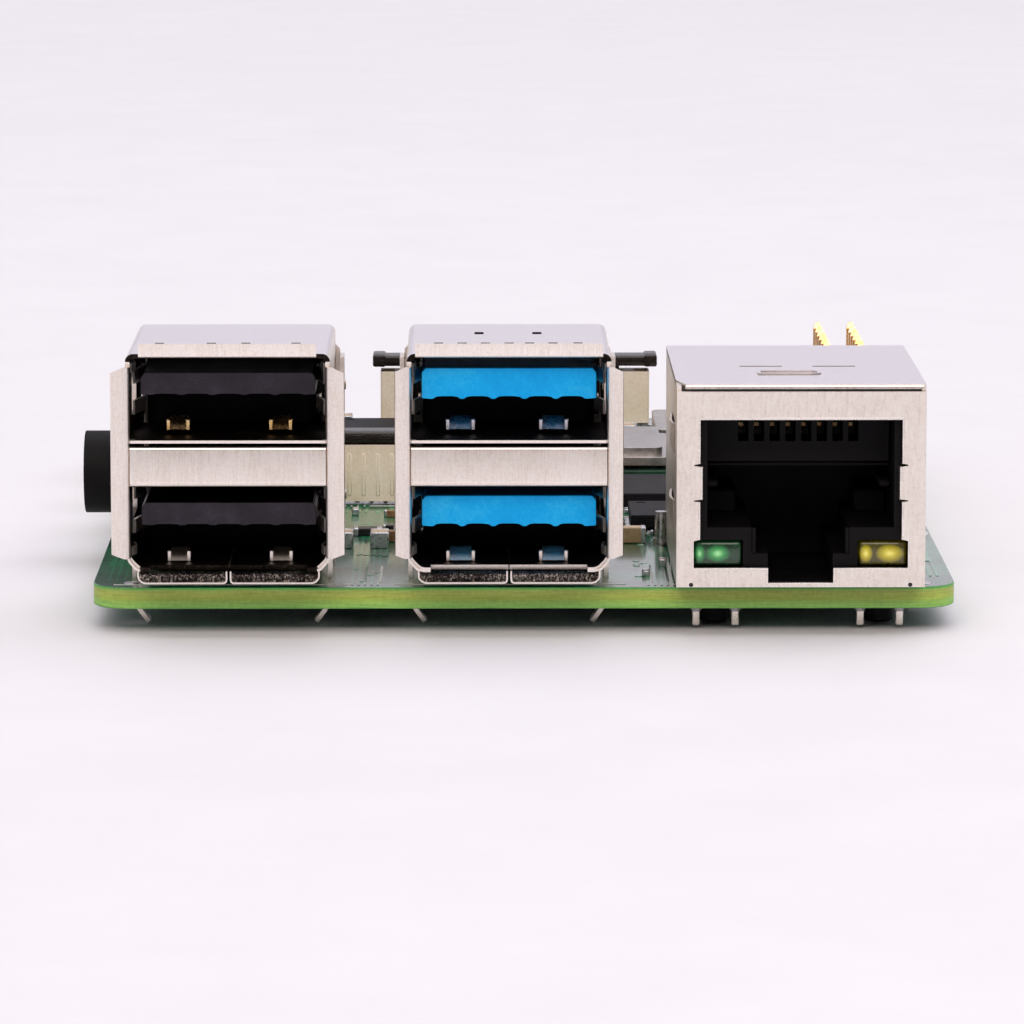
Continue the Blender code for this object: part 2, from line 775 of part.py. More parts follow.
def video_output(name, y):
    outer = BOARD_LEFT - EDGE_OVERHANG
    inner = outer + VIDEO_DEPTH
    low = above(GAP)
    high = low + VIDEO_HEIGHT

    def ring(inset):
        half = VIDEO_WIDTH / 2 - inset
        return [
            (y - half, high - inset), (y + half, high - inset),
            (y + half, low + 2 * VIDEO_TAPER), (y + half - VIDEO_TAPER, low + inset),
            (y - half + VIDEO_TAPER, low + inset), (y - half, low + 2 * VIDEO_TAPER),
        ]

    shell = outline(name + "_shell", ring(0), "X", outer, inner, NICKEL)
    subtract(shell, outline(name + "_hollow", ring(SHEET), "X", outer - CUT_PAST, inner - SHEET))
    middle = (low + high) / 2
    box(
        name + "_tongue",
        (outer + 2 * GAP, y - VIDEO_WIDTH / 2 + 4 * SHEET, middle),
        (inner - SHEET - GAP, y + VIDEO_WIDTH / 2 - 4 * SHEET, middle + 2 * SHEET),
        BLACK_PLASTIC,
    )


def flex_connector(name, x, y):
    half_depth = FLEX_DEPTH / 2
    body_half = FLEX_HALF_LENGTH - SHEET - GAP
    body = box(
        name + "_body",
        (x - body_half, y - half_depth, above(GAP)),
        (x + body_half, y + half_depth, above(FLEX_BODY_ABOVE)),
        CREAM_PLASTIC,
    )
    slot = box(
        name + "_slot",
        (x - FLEX_SLOT_HALF_LENGTH, y - FLEX_SLOT_FRONT, above(FLEX_SLOT_FLOOR_ABOVE)),
        (x + FLEX_SLOT_HALF_LENGTH, y + FLEX_SLOT_BACK, above(FLEX_BODY_ABOVE + CUT_PAST)),
    )
    subtract(body, slot)
    latch = box(
        name + "_latch",
        (x - FLEX_HALF_LENGTH, y - half_depth, above(FLEX_BODY_ABOVE + GAP)),
        (x + FLEX_HALF_LENGTH, y + half_depth, above(FLEX_TOP_ABOVE)),
        DARK_LATCH,
    )
    tongue_half = FLEX_SLOT_HALF_LENGTH - GAP
    joined = [
        box(
            name + "_latch_tongue",
            (x - tongue_half, y - FLEX_TONGUE / 2, above(FLEX_TONGUE_LOW_ABOVE)),
            (x + tongue_half, y + FLEX_TONGUE / 2, above(FLEX_BODY_ABOVE + 2 * GAP)),
        )
    ]
    for side in (-1, 1):
        arm = sorted((x + side * FLEX_HALF_LENGTH, x + side * (FLEX_HALF_LENGTH - SHEET)))
        joined.append(
            box(
                f"{name}_latch_arm_{side}",
                (arm[0], y - FLEX_ARM_HALF_DEPTH, above(FLEX_ARM_LOW_ABOVE)),
                (arm[1], y + FLEX_ARM_HALF_DEPTH, above(FLEX_BODY_ABOVE + 2 * GAP)),
            )
        )
    unite(latch, *joined)
    # The slit that the flex cable goes down through, in front of the tongue.
    subtract(
        latch,
        box(
            name + "_latch_slit",
            (x - tongue_half, y + FLEX_TONGUE / 2, above(FLEX_BODY_ABOVE)),
            (x + tongue_half, y + FLEX_SLOT_BACK, above(FLEX_TOP_ABOVE + CUT_PAST)),
        ),
    )


def pin_header(name, x, y, rows):
    half_length = rows * PIN_PITCH / 2
    header = box(
        name,
        (x - PIN_PITCH, y - half_length, above(GAP)),
        (x + PIN_PITCH, y + half_length, above(GAP + HEADER_BODY)),
        BLACK_PLASTIC,
    )
    pins = []
    for row in range(rows):
        pin_y = y + (row - (rows - 1) / 2) * PIN_PITCH
        for side in (-1, 1):
            pin_x = x + side * PIN_PITCH / 2
            tag = f"{name}_pin_{row}_{side}"
            pins.append(
                box(
                    tag,
                    (pin_x - PIN_SIDE / 2, pin_y - PIN_SIDE / 2, 0),
                    (pin_x + PIN_SIDE / 2, pin_y + PIN_SIDE / 2, above(PIN_TOP_ABOVE)),
                )
            )
            board_cuts.append(
                cylinder(
                    tag + "_hole", PIN_HOLE_RADIUS,
                    (pin_x, pin_y, BOARD_BOTTOM - CUT_PAST), (pin_x, pin_y, BOARD_TOP + CUT_PAST),
                    sides=6,
                )
            )
    unite(header, *pins)


def card_slot():
    back = BOARD_REAR - CARD_SLOT_REAR_INSET
    front = back - CARD_SLOT_DEPTH
    half = CARD_SLOT_WIDTH / 2
    top = BOARD_BOTTOM - GAP
    shell = box("card_slot_shell", (-half, front, 0), (half, back, top), NICKEL)
    subtract(
        shell,
        box(
            "card_slot_hollow",
            (-half + CARD_SLOT_WALL, front + CARD_SLOT_WALL, CARD_SLOT_WALL),
            (half - CARD_SLOT_WALL, back + CUT_PAST, top + CUT_PAST),
        ),
    )
    inset = CARD_SLOT_WALL + GAP
    box(
        "card_slot_base",
        (-half + inset, front + inset, top - CARD_BASE_THICKNESS),
        (half - inset, back - GAP, top),
        BLACK_PLASTIC,
    )


def block_on_board(name, x, y, width, length, height, material, radius=0, base=GAP):
    return box(
        name,
        (x - width / 2, y - length / 2, above(base)),
        (x + width / 2, y + length / 2, above(base + height)),
        material, radius=radius, steps=1,
    )


def chips():
    for name, (from_left, from_rear, *size), material in (
        ("memory_chip", MEMORY, CHIP),
        ("usb_controller", USB_CONTROLLER, CHIP),
        ("ethernet_controller", ETHERNET_CONTROLLER, CHIP),
        ("power_controller", POWER_CONTROLLER, CHIP),
        ("crystal", CRYSTAL, NICKEL),
    ):
        block_on_board(name, BOARD_LEFT + from_left, BOARD_REAR - from_rear, *size, material)
    x = BOARD_LEFT + PROCESSOR_FROM_LEFT
    y = BOARD_REAR - PROCESSOR_FROM_REAR
    block_on_board(
        "processor", x, y, PROCESSOR_SIDE, PROCESSOR_SIDE, PROCESSOR_THICKNESS, GREEN_BOARD
    )
    block_on_board(
        "processor_lid", x, y, LID_SIDE, LID_SIDE, LID_THICKNESS,
        LID_METAL, radius=LID_CORNER, base=PROCESSOR_THICKNESS + 2 * GAP,
    )


def small_parts():
    block_on_board(
        "wireless_shield_can", BOARD_RIGHT - CAN_FROM_RIGHT, BOARD_REAR - CAN_FROM_REAR,
        CAN_WIDTH, CAN_LENGTH, CAN_HEIGHT, NICKEL, radius=GAP,
    )
    for number, from_rear in enumerate(INDUCTORS_FROM_REAR):
        block_on_board(
            f"inductor_{number + 1}", BOARD_LEFT + INDUCTOR_FROM_LEFT, BOARD_REAR - from_rear,
            INDUCTOR_SIDE, INDUCTOR_SIDE, INDUCTOR_HEIGHT, FERRITE, radius=INDUCTOR_CORNER,
        )
    for name, from_left, material in zip(
        ("power_lamp", "activity_lamp"), STATUS_LAMPS_FROM_LEFT, (RED_LAMP, GREEN_LAMP)
    ):
        block_on_board(
            name, BOARD_LEFT + from_left, BOARD_REAR - STATUS_LAMPS_FROM_REAR,
            *STATUS_LAMP_SIZE, material,
        )


def circuit_board():
    board = box(
        "circuit_board",
        (BOARD_LEFT, BOARD_FRONT, BOARD_BOTTOM),
        (BOARD_RIGHT, BOARD_REAR, BOARD_TOP),
        GREEN_BOARD, radius=BOARD_CORNER, along="Z", steps=5,
    )
    pads = []
    for x in (-HOLE_X, HOLE_X):
        for y in (HOLE_REAR_Y, HOLE_REAR_Y - HOLE_SPACING_Y):
            tag = f"{'left' if x < 0 else 'right'}_{'rear' if y > 0 else 'front'}"
            pads.append(
                cylinder(
                    f"pad_{tag}", PAD_RADIUS,
                    (x, y, BOARD_BOTTOM - PAD_THICKNESS), (x, y, BOARD_TOP + PAD_THICKNESS),
                )
            )
            board_cuts.append(
                cylinder(
                    f"mounting_hole_{tag}", HOLE_RADIUS,
                    (x, y, BOARD_BOTTOM - CUT_PAST), (x, y, BOARD_TOP + CUT_PAST),
                )
            )
    unite(board, *pads)
    subtract(board, *board_cuts)


usb_stack("usb_black", BOARD_LEFT + USB_BLACK_FROM_LEFT, BLACK_PLASTIC)
usb_stack("usb_blue", BOARD_LEFT + USB_BLACK_FROM_LEFT + USB_SPACING, BLUE_PLASTIC)
ethernet_shield()
ethernet_housing()
ethernet_lamp("ethernet_green_lamp", -1, GREEN_LAMP)
ethernet_lamp("ethernet_yellow_lamp", 1, YELLOW_LAMP)
ethernet_contacts()
ethernet_magnetics()
audio_jack()
usb_c()
for number, from_rear in enumerate(VIDEOS_FROM_REAR):
    video_output(f"video_{number + 1}", BOARD_REAR - from_rear)
flex_connector("camera_connector", BOARD_LEFT + CAMERA_FROM_LEFT, BOARD_REAR - CAMERA_FROM_REAR)
flex_connector("display_connector", BOARD_LEFT + DISPLAY_FROM_LEFT, BOARD_REAR - DISPLAY_FROM_REAR)
# The long header runs down the right pair of mounting holes and lies midway between them.
pin_header("pin_header", HOLE_X, HOLE_REAR_Y - HOLE_SPACING_Y / 2, HEADER_ROWS)
pin_header(
    "small_pin_header", BOARD_RIGHT - SMALL_HEADER_FROM_RIGHT,
    BOARD_REAR - SMALL_HEADER_FROM_REAR, SMALL_HEADER_ROWS,
)
card_slot()
chips()
small_parts()
circuit_board()
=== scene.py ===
import math
import random

import bmesh
import bpy
from mathutils import Matrix, Vector


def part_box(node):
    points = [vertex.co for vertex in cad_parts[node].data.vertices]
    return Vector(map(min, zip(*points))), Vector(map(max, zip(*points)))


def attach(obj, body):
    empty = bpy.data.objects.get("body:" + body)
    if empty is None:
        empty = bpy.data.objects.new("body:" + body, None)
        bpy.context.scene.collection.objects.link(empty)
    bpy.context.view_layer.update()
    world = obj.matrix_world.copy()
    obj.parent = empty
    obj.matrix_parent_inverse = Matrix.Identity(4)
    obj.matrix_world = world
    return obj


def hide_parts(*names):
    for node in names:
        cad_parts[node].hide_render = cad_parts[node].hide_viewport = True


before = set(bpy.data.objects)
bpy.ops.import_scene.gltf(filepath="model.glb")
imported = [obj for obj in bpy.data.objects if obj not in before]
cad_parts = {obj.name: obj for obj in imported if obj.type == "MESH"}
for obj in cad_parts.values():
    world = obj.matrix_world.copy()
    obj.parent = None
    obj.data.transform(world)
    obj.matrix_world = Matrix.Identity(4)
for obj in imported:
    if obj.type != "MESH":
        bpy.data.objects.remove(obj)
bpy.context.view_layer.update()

dice = random.Random(11)
metre = 1000.0  # shapes are drawn in millimetres and shrunk when they are finished
sides = (-1, 1)


def corners(node):  # lowest and highest corner of a CAD node, in millimetres
    low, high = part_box(node)
    return low * metre, high * metre


boardLow, boardHigh = corners("circuit_board")
padHeight = 0.05  # the plated rings stand this far off both faces
boardTop, boardBottom = boardHigh.z - padHeight, boardLow.z + padHeight
centreX, centreY = (boardLow.x + boardHigh.x) / 2, (boardLow.y + boardHigh.y) / 2


def up(height):  # a height given above the board's top face
    return boardTop + height


def spot(node):  # corners and middle of a node, the lower one no deeper than the board's top face
    low, high = corners(node)
    low.z = max(low.z, boardTop)
    return low, high, (low.x + high.x) / 2, (low.y + high.y) / 2


def colour(code):  # sRGB hex to the linear colour a shader takes
    parts = [int(code[i:i + 2], 16) / 255 for i in (1, 3, 5)]
    return tuple(p / 12.92 if p <= 0.04045 else ((p + 0.055) / 1.055) ** 2.4 for p in parts) + (1.0,)


def addNode(material, kind, settings=None, links=None, out=0, stops=()):
    tree = material.node_tree
    made = tree.nodes.new(kind)
    for key, value in (settings or {}).items():
        if isinstance(key, str) and hasattr(made, key):
            setattr(made, key, value)
        else:
            made.inputs[key].default_value = value
    for key, source in (links or {}).items():
        tree.links.new(source, made.inputs[key])
    if stops:  # places and tones of a colour ramp
        elements = made.color_ramp.elements
        while len(elements) < len(stops):
            elements.new(0.5)
        for element, (at, code) in zip(elements, stops):
            element.position = at
        for element, (at, code) in zip(elements, stops):
            element.color = colour(code)
    return made.outputs[out]


def newFinish(name, **sockets):  # an empty finish, with the shader's own sockets set
    material = bpy.data.materials.new(name)
    material.use_nodes = True
    shader = material.node_tree.nodes["Principled BSDF"]
    for key, value in sockets.items():
        shader.inputs[key.replace("_", " ")].default_value = value
    return material


def objectPlace(material, stretch=(1, 1, 1)):
    at = addNode(material, "ShaderNodeTexCoord", out="Object")
    return addNode(material, "ShaderNodeMapping", {"Scale": stretch}, {"Vector": at})


def speckle(material, size, stretch=(1, 1, 1), detail=4.0):  # noise with features size millimetres across
    return addNode(material, "ShaderNodeTexNoise", {"Scale": metre / size, "Detail": detail, "Roughness": 0.6},
                   {"Vector": objectPlace(material, stretch)})


def mingle(material, first, second, share):  # two patterns added, the second with this share
    kept = addNode(material, "ShaderNodeMath", {"operation": "MULTIPLY", 1: 1 - share}, {0: first})
    return addNode(material, "ShaderNodeMath", {"operation": "MULTIPLY_ADD", 1: share}, {0: second, 2: kept})


def surface(material, tone, stops, gloss, rough, *reliefs):
    # wires patterns to the colour, the roughness and the relief, whose depths are in millimetres
    if stops:
        tone = addNode(material, "ShaderNodeValToRGB", links={"Fac": tone}, stops=stops)
    sockets = {"Base Color": tone, "Roughness": addNode(
        material, "ShaderNodeMapRange",
        {"From Min": 0.3, "From Max": 0.7, "To Min": rough[0], "To Max": rough[1]}, {"Value": gloss})}
    for source, depth in reliefs:
        links = {"Height": source}
        if "Normal" in sockets:
            links["Normal"] = sockets["Normal"]
        sockets["Normal"] = addNode(material, "ShaderNodeBump", {"Strength": 1.0, "Distance": depth / metre}, links)
    shader = material.node_tree.nodes["Principled BSDF"]
    for socket, source in sockets.items():
        material.node_tree.links.new(source, shader.inputs[socket])


def grained(name, tones, fine, coarse, share, rough, bump, stretch=(1, 1, 1), **sockets):
    # two sizes of noise drive the tone, the gloss and the relief together
    material = newFinish(name, **sockets)
    tones = tones.split()
    small = speckle(material, fine, stretch)
    both = mingle(material, small, speckle(material, coarse), share)
    stops = [(0.36 + 0.28 * i / (len(tones) - 1), tone) for i, tone in enumerate(tones)]
    surface(material, both, stops, both, rough, (small, bump))
    return material


def brushedNickel(name, tones, rough, lines, bump):
    # rolled steel strip with a nickel plate: fine drawn lines, pin-prick pits and cloudy patches
    material = newFinish(name, Metallic=1.0)
    drawn = speckle(material, 0.5, lines, 5.0)
    pits = speckle(material, 0.16, detail=2.0)
    clouds = speckle(material, 2.6)
    both = mingle(material, mingle(material, drawn, pits, 0.4), clouds, 0.25)
    surface(material, both, list(zip((0.34, 0.5, 0.64), tones.split())), mingle(material, drawn, clouds, 0.5), rough,
            (pits, bump * 0.8), (drawn, bump))
    return material


def greenMask(name, tones, coat):
    # gloss solder mask: darker over bare laminate, lighter in angular fields where copper lies under it
    material = newFinish(name, Coat_Weight=coat, Coat_Roughness=0.12)
    cells = addNode(material, "ShaderNodeTexVoronoi",
                    {"distance": "CHEBYCHEV", "feature": "F1", "Scale": metre / 4.2},
                    {"Vector": objectPlace(material)}, "Color")
    fields = addNode(material, "ShaderNodeSeparateColor", links={"Color": cells})
    weave = speckle(material, 0.35)
    surface(material, mingle(material, fields, weave, 0.45), list(zip((0.2, 0.5, 0.8), tones.split())),
            weave, (0.28, 0.42), (weave, 0.004))
    return material


def laminateEdge(name, low, high):
    # routed glass-fibre edge: green resin lips above and below an olive core with fine fibre layers
    material = newFinish(name, Specular_IOR_Level=0.35)
    height = addNode(material, "ShaderNodeSeparateXYZ", links={"Vector": objectPlace(material)}, out="Z")
    across = addNode(material, "ShaderNodeMapRange", {"From Min": low / metre, "From Max": high / metre},
                     {"Value": height})
    fibres = speckle(material, 0.9, (0.35, 0.35, 9.0), 5.0)
    chips = speckle(material, 0.3)
    wavy = addNode(material, "ShaderNodeMath", {"operation": "MULTIPLY_ADD", 1: 0.16}, {0: fibres, 2: across})
    layers = ((0.06, "#57AE50"), (0.16, "#9BD66C"), (0.38, "#A3D46A"), (0.52, "#B2CC5A"), (0.78, "#B9C864"),
              (0.97, "#A3C464"), (1.04, "#62B85C"))
    core = addNode(material, "ShaderNodeValToRGB", links={"Fac": wavy}, stops=layers)
    shade = addNode(material, "ShaderNodeValToRGB", links={"Fac": mingle(material, fibres, chips, 0.4)},
                    stops=((0.35, "#C6C6B6"), (0.62, "#FFFFFF")))
    mixed = addNode(material, "ShaderNodeMix", {"data_type": "RGBA", "blend_type": "MULTIPLY", 0: 0.75},
                    {6: core, 7: shade}, 2)
    surface(material, mixed, None, chips, (0.42, 0.62), (fibres, 0.02))
    return material


def lampBox(node):  # the lens alone, without its two leads
    low, high = corners(node)
    return Vector((low.x, low.y, high.z - 1.6)), Vector((high.x, low.y + 3.6, high.z))


def lampLens(name, node, tones, paintedPools):
    # tinted clear epoxy: two bright pools of painted light, a glow over the middle and a highlight to one side, and
    # painted shade towards the walls
    low, high = lampBox(node)
    centre, half = (low + high) / 2, (high - low) / 2
    material = newFinish(name, Coat_Weight=0.6, Coat_Roughness=0.08, Emission_Strength=0.2)
    glows = []
    for offset, reach in paintedPools:  # painted pools: place and reach across the lens, as shares of its half width
        at = addNode(material, "ShaderNodeTexCoord", out="Object")
        size = Vector((1 / (half.x * reach), 0.25 / half.y, 1 / (half.z * 0.8))) * metre
        middle = Vector((centre.x + offset * half.x, centre.y, centre.z)) / metre
        moved = addNode(material, "ShaderNodeVectorMath", {"operation": "SUBTRACT", 1: middle}, {0: at})
        scaled = addNode(material, "ShaderNodeVectorMath", {"operation": "MULTIPLY", 1: size}, {0: moved})
        glows.append(addNode(material, "ShaderNodeTexGradient", {"gradient_type": "SPHERICAL"},
                             {"Vector": scaled}, "Fac"))
    bright = addNode(material, "ShaderNodeMath", {"operation": "MAXIMUM"}, {0: glows[0], 1: glows[1]})
    cloudy = addNode(material, "ShaderNodeMath", {"operation": "MULTIPLY_ADD", 1: 0.16},
                     {0: speckle(material, 0.5), 2: bright})
    tone = addNode(material, "ShaderNodeValToRGB", links={"Fac": cloudy},
                   stops=list(zip((0.05, 0.25, 0.6, 0.9), tones.split())))
    # the lens also emits its own tone faintly, a painted glow
    material.node_tree.links.new(tone, material.node_tree.nodes["Principled BSDF"].inputs["Emission Color"])
    surface(material, tone, None, speckle(material, 0.4), (0.18, 0.3))
    return material


plated = {  # look: name, tones from dark to light, roughness, stretch of the drawn lines, relief in mm
    # the shells' outside: warm satin white with upright lines
    "shell": ("nickelShell", "#E6DCD2 #F8EFE6 #FFFAF3", (0.28, 0.36), (6.0, 6.0, 0.35), 0.003),
    # inside faces, darkened as painted shade between the walls
    "innerShellPaintedShade": ("nickelPaintedShade", "#16120F #241F1B #4A423B", (0.35, 0.5), (5.0, 2.0, 2.0), 0.01),
    # level tops, smoother, and lighter and cooler than the walls as a painted reflection
    "roof": ("nickelRoofPaintedReflection", "#F0E9EE #F9F2F7 #FFFAFD", (0.11, 0.17), (6.0, 0.5, 6.0), 0.002),
    # the network jack's shield, with a coarser grain
    "jackShell": ("nickelJack", "#E4DACF #F7EEE4 #FFF9F1", (0.28, 0.38), (3.0, 3.0, 0.5), 0.006),
    # sheared edges, the brightest lines
    "cutEdge": ("nickelCutEdge", "#E8DFD6 #F8F1E9 #FFFCF7", (0.22, 0.32), (4.0, 4.0, 4.0), 0.004),
    # stippled plate under the mouth, dark with painted shade, with bright grains
    "dullPlate": ("dullPlate", "#100E0C #2B2624 #B0A8A3", (0.38, 0.55), (5.0, 5.0, 2.0), 0.03),
    # nickel-plated copper lid, ground in one direction
    "lid": ("heatSpreader", "#9A9794 #BDBAB8 #D8D6D4", (0.28, 0.42), (0.4, 7.0, 1.0), 0.006),
    # drawn tin-plate cans, greyer than the shells
    "can": ("shieldCan", "#A29D9A #C6C1BE #DEDAD8", (0.3, 0.44), (6.0, 0.5, 1.0), 0.006),
}
moulded = {  # look: name, tones, fine and coarse grain in mm, share of the coarse, roughness, relief in mm, sockets
    # chalky screen print
    "ink": ("whiteInk", "#C9CFC8 #E9ECE6 #F6F7F2", 0.12, 1.5, 0.3, (0.5, 0.7), 0.004, {}),
    # reflowed tin, uneven and bright
    "tin": ("brightTin", "#A9A9AE #CFCFD3 #ECECEF", 0.25, 1.2, 0.4, (0.22, 0.38), 0.008, {"Metallic": 1.0}),
    # pale hard gold on the pins and contacts
    "gold": ("goldPlate", "#D3A55C #E9C588 #F7E0B4", 0.2, 1.0, 0.4, (0.2, 0.34), 0.004, {"Metallic": 1.0}),
    # moulded nylon, matt near black
    "black": ("blackNylon", "#050405 #0A080A #131015", 0.12, 2.2, 0.5, (0.5, 0.68), 0.008,
              {"Specular_IOR_Level": 0.16}),
    # the black tongues, lightened to a violet grey as a painted sheen, with streaks that run upright
    "violet": ("violetBlackNylon", "#110D16 #1E1925 #332D3A", 0.14, 2.0, 0.5, (0.32, 0.5), 0.010,
               {"stretch": (1, 1, 6), "Specular_IOR_Level": 0.35}),
    # the blue tongues, clean satin
    "blue": ("blueNylon", "#00A6F4 #06B2FC #2CC0FF", 0.2, 3.0, 0.6, (0.34, 0.46), 0.006,
             {"Specular_IOR_Level": 0.2}),
    # ivory connector bodies, faintly waxy
    "cream": ("creamPolymer", "#F3E2C8 #FBEEDA #FFF8EA", 0.15, 2.0, 0.4, (0.42, 0.58), 0.006, {}),
    # the latches, brown black with a soft gloss
    "darkLatch": ("darkLatchNylon", "#120D0C #1D1615 #2E2523", 0.12, 1.6, 0.4, (0.2, 0.34), 0.004,
                  {"Specular_IOR_Level": 0.4}),
    # chip packages, matt with a filler grain
    "epoxy": ("chipEpoxy", "#0C0A0E #131116 #201D24", 0.09, 1.8, 0.35, (0.5, 0.68), 0.008,
              {"Specular_IOR_Level": 0.18}),
    # pressed ferrite, dull grey
    "ferrite": ("ferriteBody", "#2E2D30 #454449 #5C5B61", 0.16, 1.2, 0.4, (0.5, 0.7), 0.02, {}),
    # fired ceramic of the small capacitors, brown and tan
    "brownCap": ("brownCeramic", "#7A5536 #98714B #B48C63", 0.1, 0.9, 0.5, (0.4, 0.55), 0.006, {}),
    "tanCap": ("tanCeramic", "#A98C68 #C7AC86 #DCC5A2", 0.1, 0.9, 0.5, (0.4, 0.55), 0.006, {}),
    # glass glaze, black and shiny
    "resistor": ("resistorGlaze", "#0C0C0E #18181B #29292E", 0.1, 0.9, 0.4, (0.25, 0.4), 0.004, {}),
    # tinted lenses of the two chip lamps
    "redChip": ("redLampLens", "#A3241C #CC3B2E #E8695A", 0.2, 0.8, 0.5, (0.15, 0.3), 0.004, {"Coat_Weight": 0.5}),
    "greenChip": ("greenLampLens", "#2C7D45 #45A35F #7CCB8D", 0.2, 0.8, 0.5, (0.15, 0.3), 0.004,
                  {"Coat_Weight": 0.5}),
}
finish = {
    "mask": greenMask("solderMask", "#0B4A30 #11603D #1B7A4C", 1.0),  # lacquered green of the bare board
    "copperMask": greenMask("maskOverCopper", "#1A7548 #238A57 #2C9A63", 1.0),  # lighter green of the tracks
    "substrate": greenMask("packageSubstrate", "#0A281D #0F3527 #174534", 0.3),  # dull dark green
    "edge": laminateEdge("laminateEdge", boardBottom, boardTop),
    "greenLamp": lampLens("greenLensPaintedGlow", "ethernet_green_lamp", "#0C2A18 #1C5C31 #3A9A50 #A8EFA6",
                          ((0.0, 0.56), (-0.74, 0.26))),
    "yellowLamp": lampLens("yellowLensPaintedGlow", "ethernet_yellow_lamp", "#2E2A08 #857C10 #BDB01C #F2EC7A",
                           ((0.28, 0.62), (-0.7, 0.3))),
}
finish.update({look: brushedNickel(*row) for look, row in plated.items()})
finish.update({look: grained(*row[:-1], **row[-1]) for look, row in moulded.items()})
print("finishes made:", len(finish))


def place(normal, a, b, c):  # a point given in a plane, c along that plane's normal
    return Vector({"x": (c, a, b), "y": (a, c, b), "z": (a, b, c)}[normal])


def block(shape, low, high, rounding=0.0, steps=1):
    made = bmesh.ops.create_cube(shape, size=1)["verts"]
    low, high = Vector(low), Vector(high)
    bmesh.ops.scale(shape, vec=high - low, verts=made)
    bmesh.ops.translate(shape, vec=(low + high) / 2, verts=made)
    if rounding:
        edges = list(dict.fromkeys(edge for vert in made for edge in vert.link_edges))
        bmesh.ops.bevel(shape, geom=edges, offset=rounding, offset_type="OFFSET", segments=steps, profile=0.5,
                        affect="EDGES", material=-1, clamp_overlap=True)


def pad(shape, x, y, halfX, halfY, low, high, rounding=0.0, steps=1):  # a block about a point on the board
    block(shape, (x - halfX, y - halfY, low), (x + halfX, y + halfY, high), rounding, steps)


def rod(shape, start, end, radius, endRadius=None, sides=16):
    start, end = Vector(start), Vector(end)
    axis = end - start
    made = bmesh.ops.create_cone(shape, cap_ends=True, cap_tris=False, segments=sides, radius1=radius,
                                 radius2=radius if endRadius is None else endRadius, depth=axis.length)["verts"]
    turn = axis.to_track_quat("Z", "Y").to_matrix()
    bmesh.ops.rotate(shape, cent=(0, 0, 0), matrix=turn, verts=made)
    bmesh.ops.translate(shape, vec=(start + end) / 2, verts=made)
    return made


def post(shape, x, y, low, high, radius, endRadius=None, sides=16):  # an upright rod
    rod(shape, (x, y, low), (x, y, high), radius, endRadius, sides)


def squarePin(shape, start, end, width, tip):  # square wire whose far end is swaged to a point
    start, end = Vector(start), Vector(end)
    along = (end - start).normalized()
    neck = end - along * tip
    corner = width * 0.7071  # half the diagonal
    for near, far, farRadius in ((start, neck, corner), (neck, end, width * 0.32)):
        made = rod(shape, near, far, corner, farRadius, 4)
        bmesh.ops.rotate(shape, cent=start, matrix=Matrix.Rotation(math.pi / 4, 3, along), verts=made)


def hole(at, radius, sides=32):  # a round loop for prism
    return {"at": at, "radius": radius, "sides": sides}


def prism(shape, normal, start, depth, *loops):  # a flat blank with holes, grown to its thickness
    edges = []
    for loop in loops:
        if isinstance(loop, dict):
            made = bmesh.ops.create_circle(shape, cap_ends=False, radius=loop["radius"],
                                           segments=loop["sides"])["verts"]
            for vert in made:
                vert.co = place(normal, vert.co.x + loop["at"][0], vert.co.y + loop["at"][1], start)
            edges += dict.fromkeys(edge for vert in made for edge in vert.link_edges)
        else:
            made = [shape.verts.new(place(normal, a, b, start)) for a, b in loop]
            edges += [shape.edges.new((made[i - 1], made[i])) for i in range(len(made))]
    filled = bmesh.ops.triangle_fill(shape, use_beauty=True, use_dissolve=False, edges=edges)["geom"]
    faces = [item for item in filled if isinstance(item, bmesh.types.BMFace)]
    base = list(dict.fromkeys(vert for face in faces for vert in face.verts))
    grown = bmesh.ops.extrude_face_region(shape, geom=faces)["geom"]
    moved = [item for item in grown if isinstance(item, bmesh.types.BMVert)]
    bmesh.ops.translate(shape, vec=place(normal, 0, 0, depth), verts=moved)
    return base + moved


def rect(lowA, lowB, highA, highB, cut=0.0):  # a rectangle, with clipped corners when cut is given
    if not cut:
        return [(lowA, lowB), (highA, lowB), (highA, highB), (lowA, highB)]
    return [(lowA + cut, lowB), (highA - cut, lowB), (highA, lowB + cut), (highA, highB - cut),
            (highA - cut, highB), (lowA + cut, highB), (lowA, highB - cut), (lowA, lowB + cut)]


def inner(low, high, inset, cut=0.0):  # a node's outline from above, moved in
    return rect(low.x + inset, low.y + inset, high.x - inset, high.y - inset, cut)


def roundBends(path, radius, steps=4):
    points = [Vector(point) for point in path]
    rounded = [points[0]]
    for before, at, after in zip(points, points[1:], points[2:]):
        reach = min(radius, (at - before).length * 0.49, (after - at).length * 0.49)
        start, end = at + (before - at).normalized() * reach, at + (after - at).normalized() * reach
        for k in range(steps + 1):
            t = k / steps
            rounded.append(start * (1 - t) ** 2 + at * 2 * t * (1 - t) + end * t ** 2)
    return rounded + [points[-1]]


def roundLoop(loop, radius, steps=4):  # the same for a closed outline
    points = [Vector(point) for point in loop]
    start = (points[0] + points[-1]) / 2
    return [tuple(point) for point in roundBends([start] + points + [start], radius, steps)[:-1]]


def thicken(path, thickness):  # outline of a strip that lies to the left of its path
    points = [Vector(point) for point in path]
    offset = []
    for i, point in enumerate(points):
        after = (points[i + 1] - point).normalized() if i < len(points) - 1 else None
        before = (point - points[i - 1]).normalized() if i else after
        after = after or before
        side = Vector((-before.y - after.y, before.x + after.x)).normalized()
        offset.append(point + side * thickness / max(0.35, side.dot(Vector((-before.y, before.x)))))
    return [tuple(point) for point in points + offset[::-1]]


def strip(shape, normal, path, thickness, low, high, radius=0.0):  # bent sheet, low to high along the normal
    if radius:
        path = roundBends(path, radius)
    return prism(shape, normal, low, high - low, thicken(path, thickness))


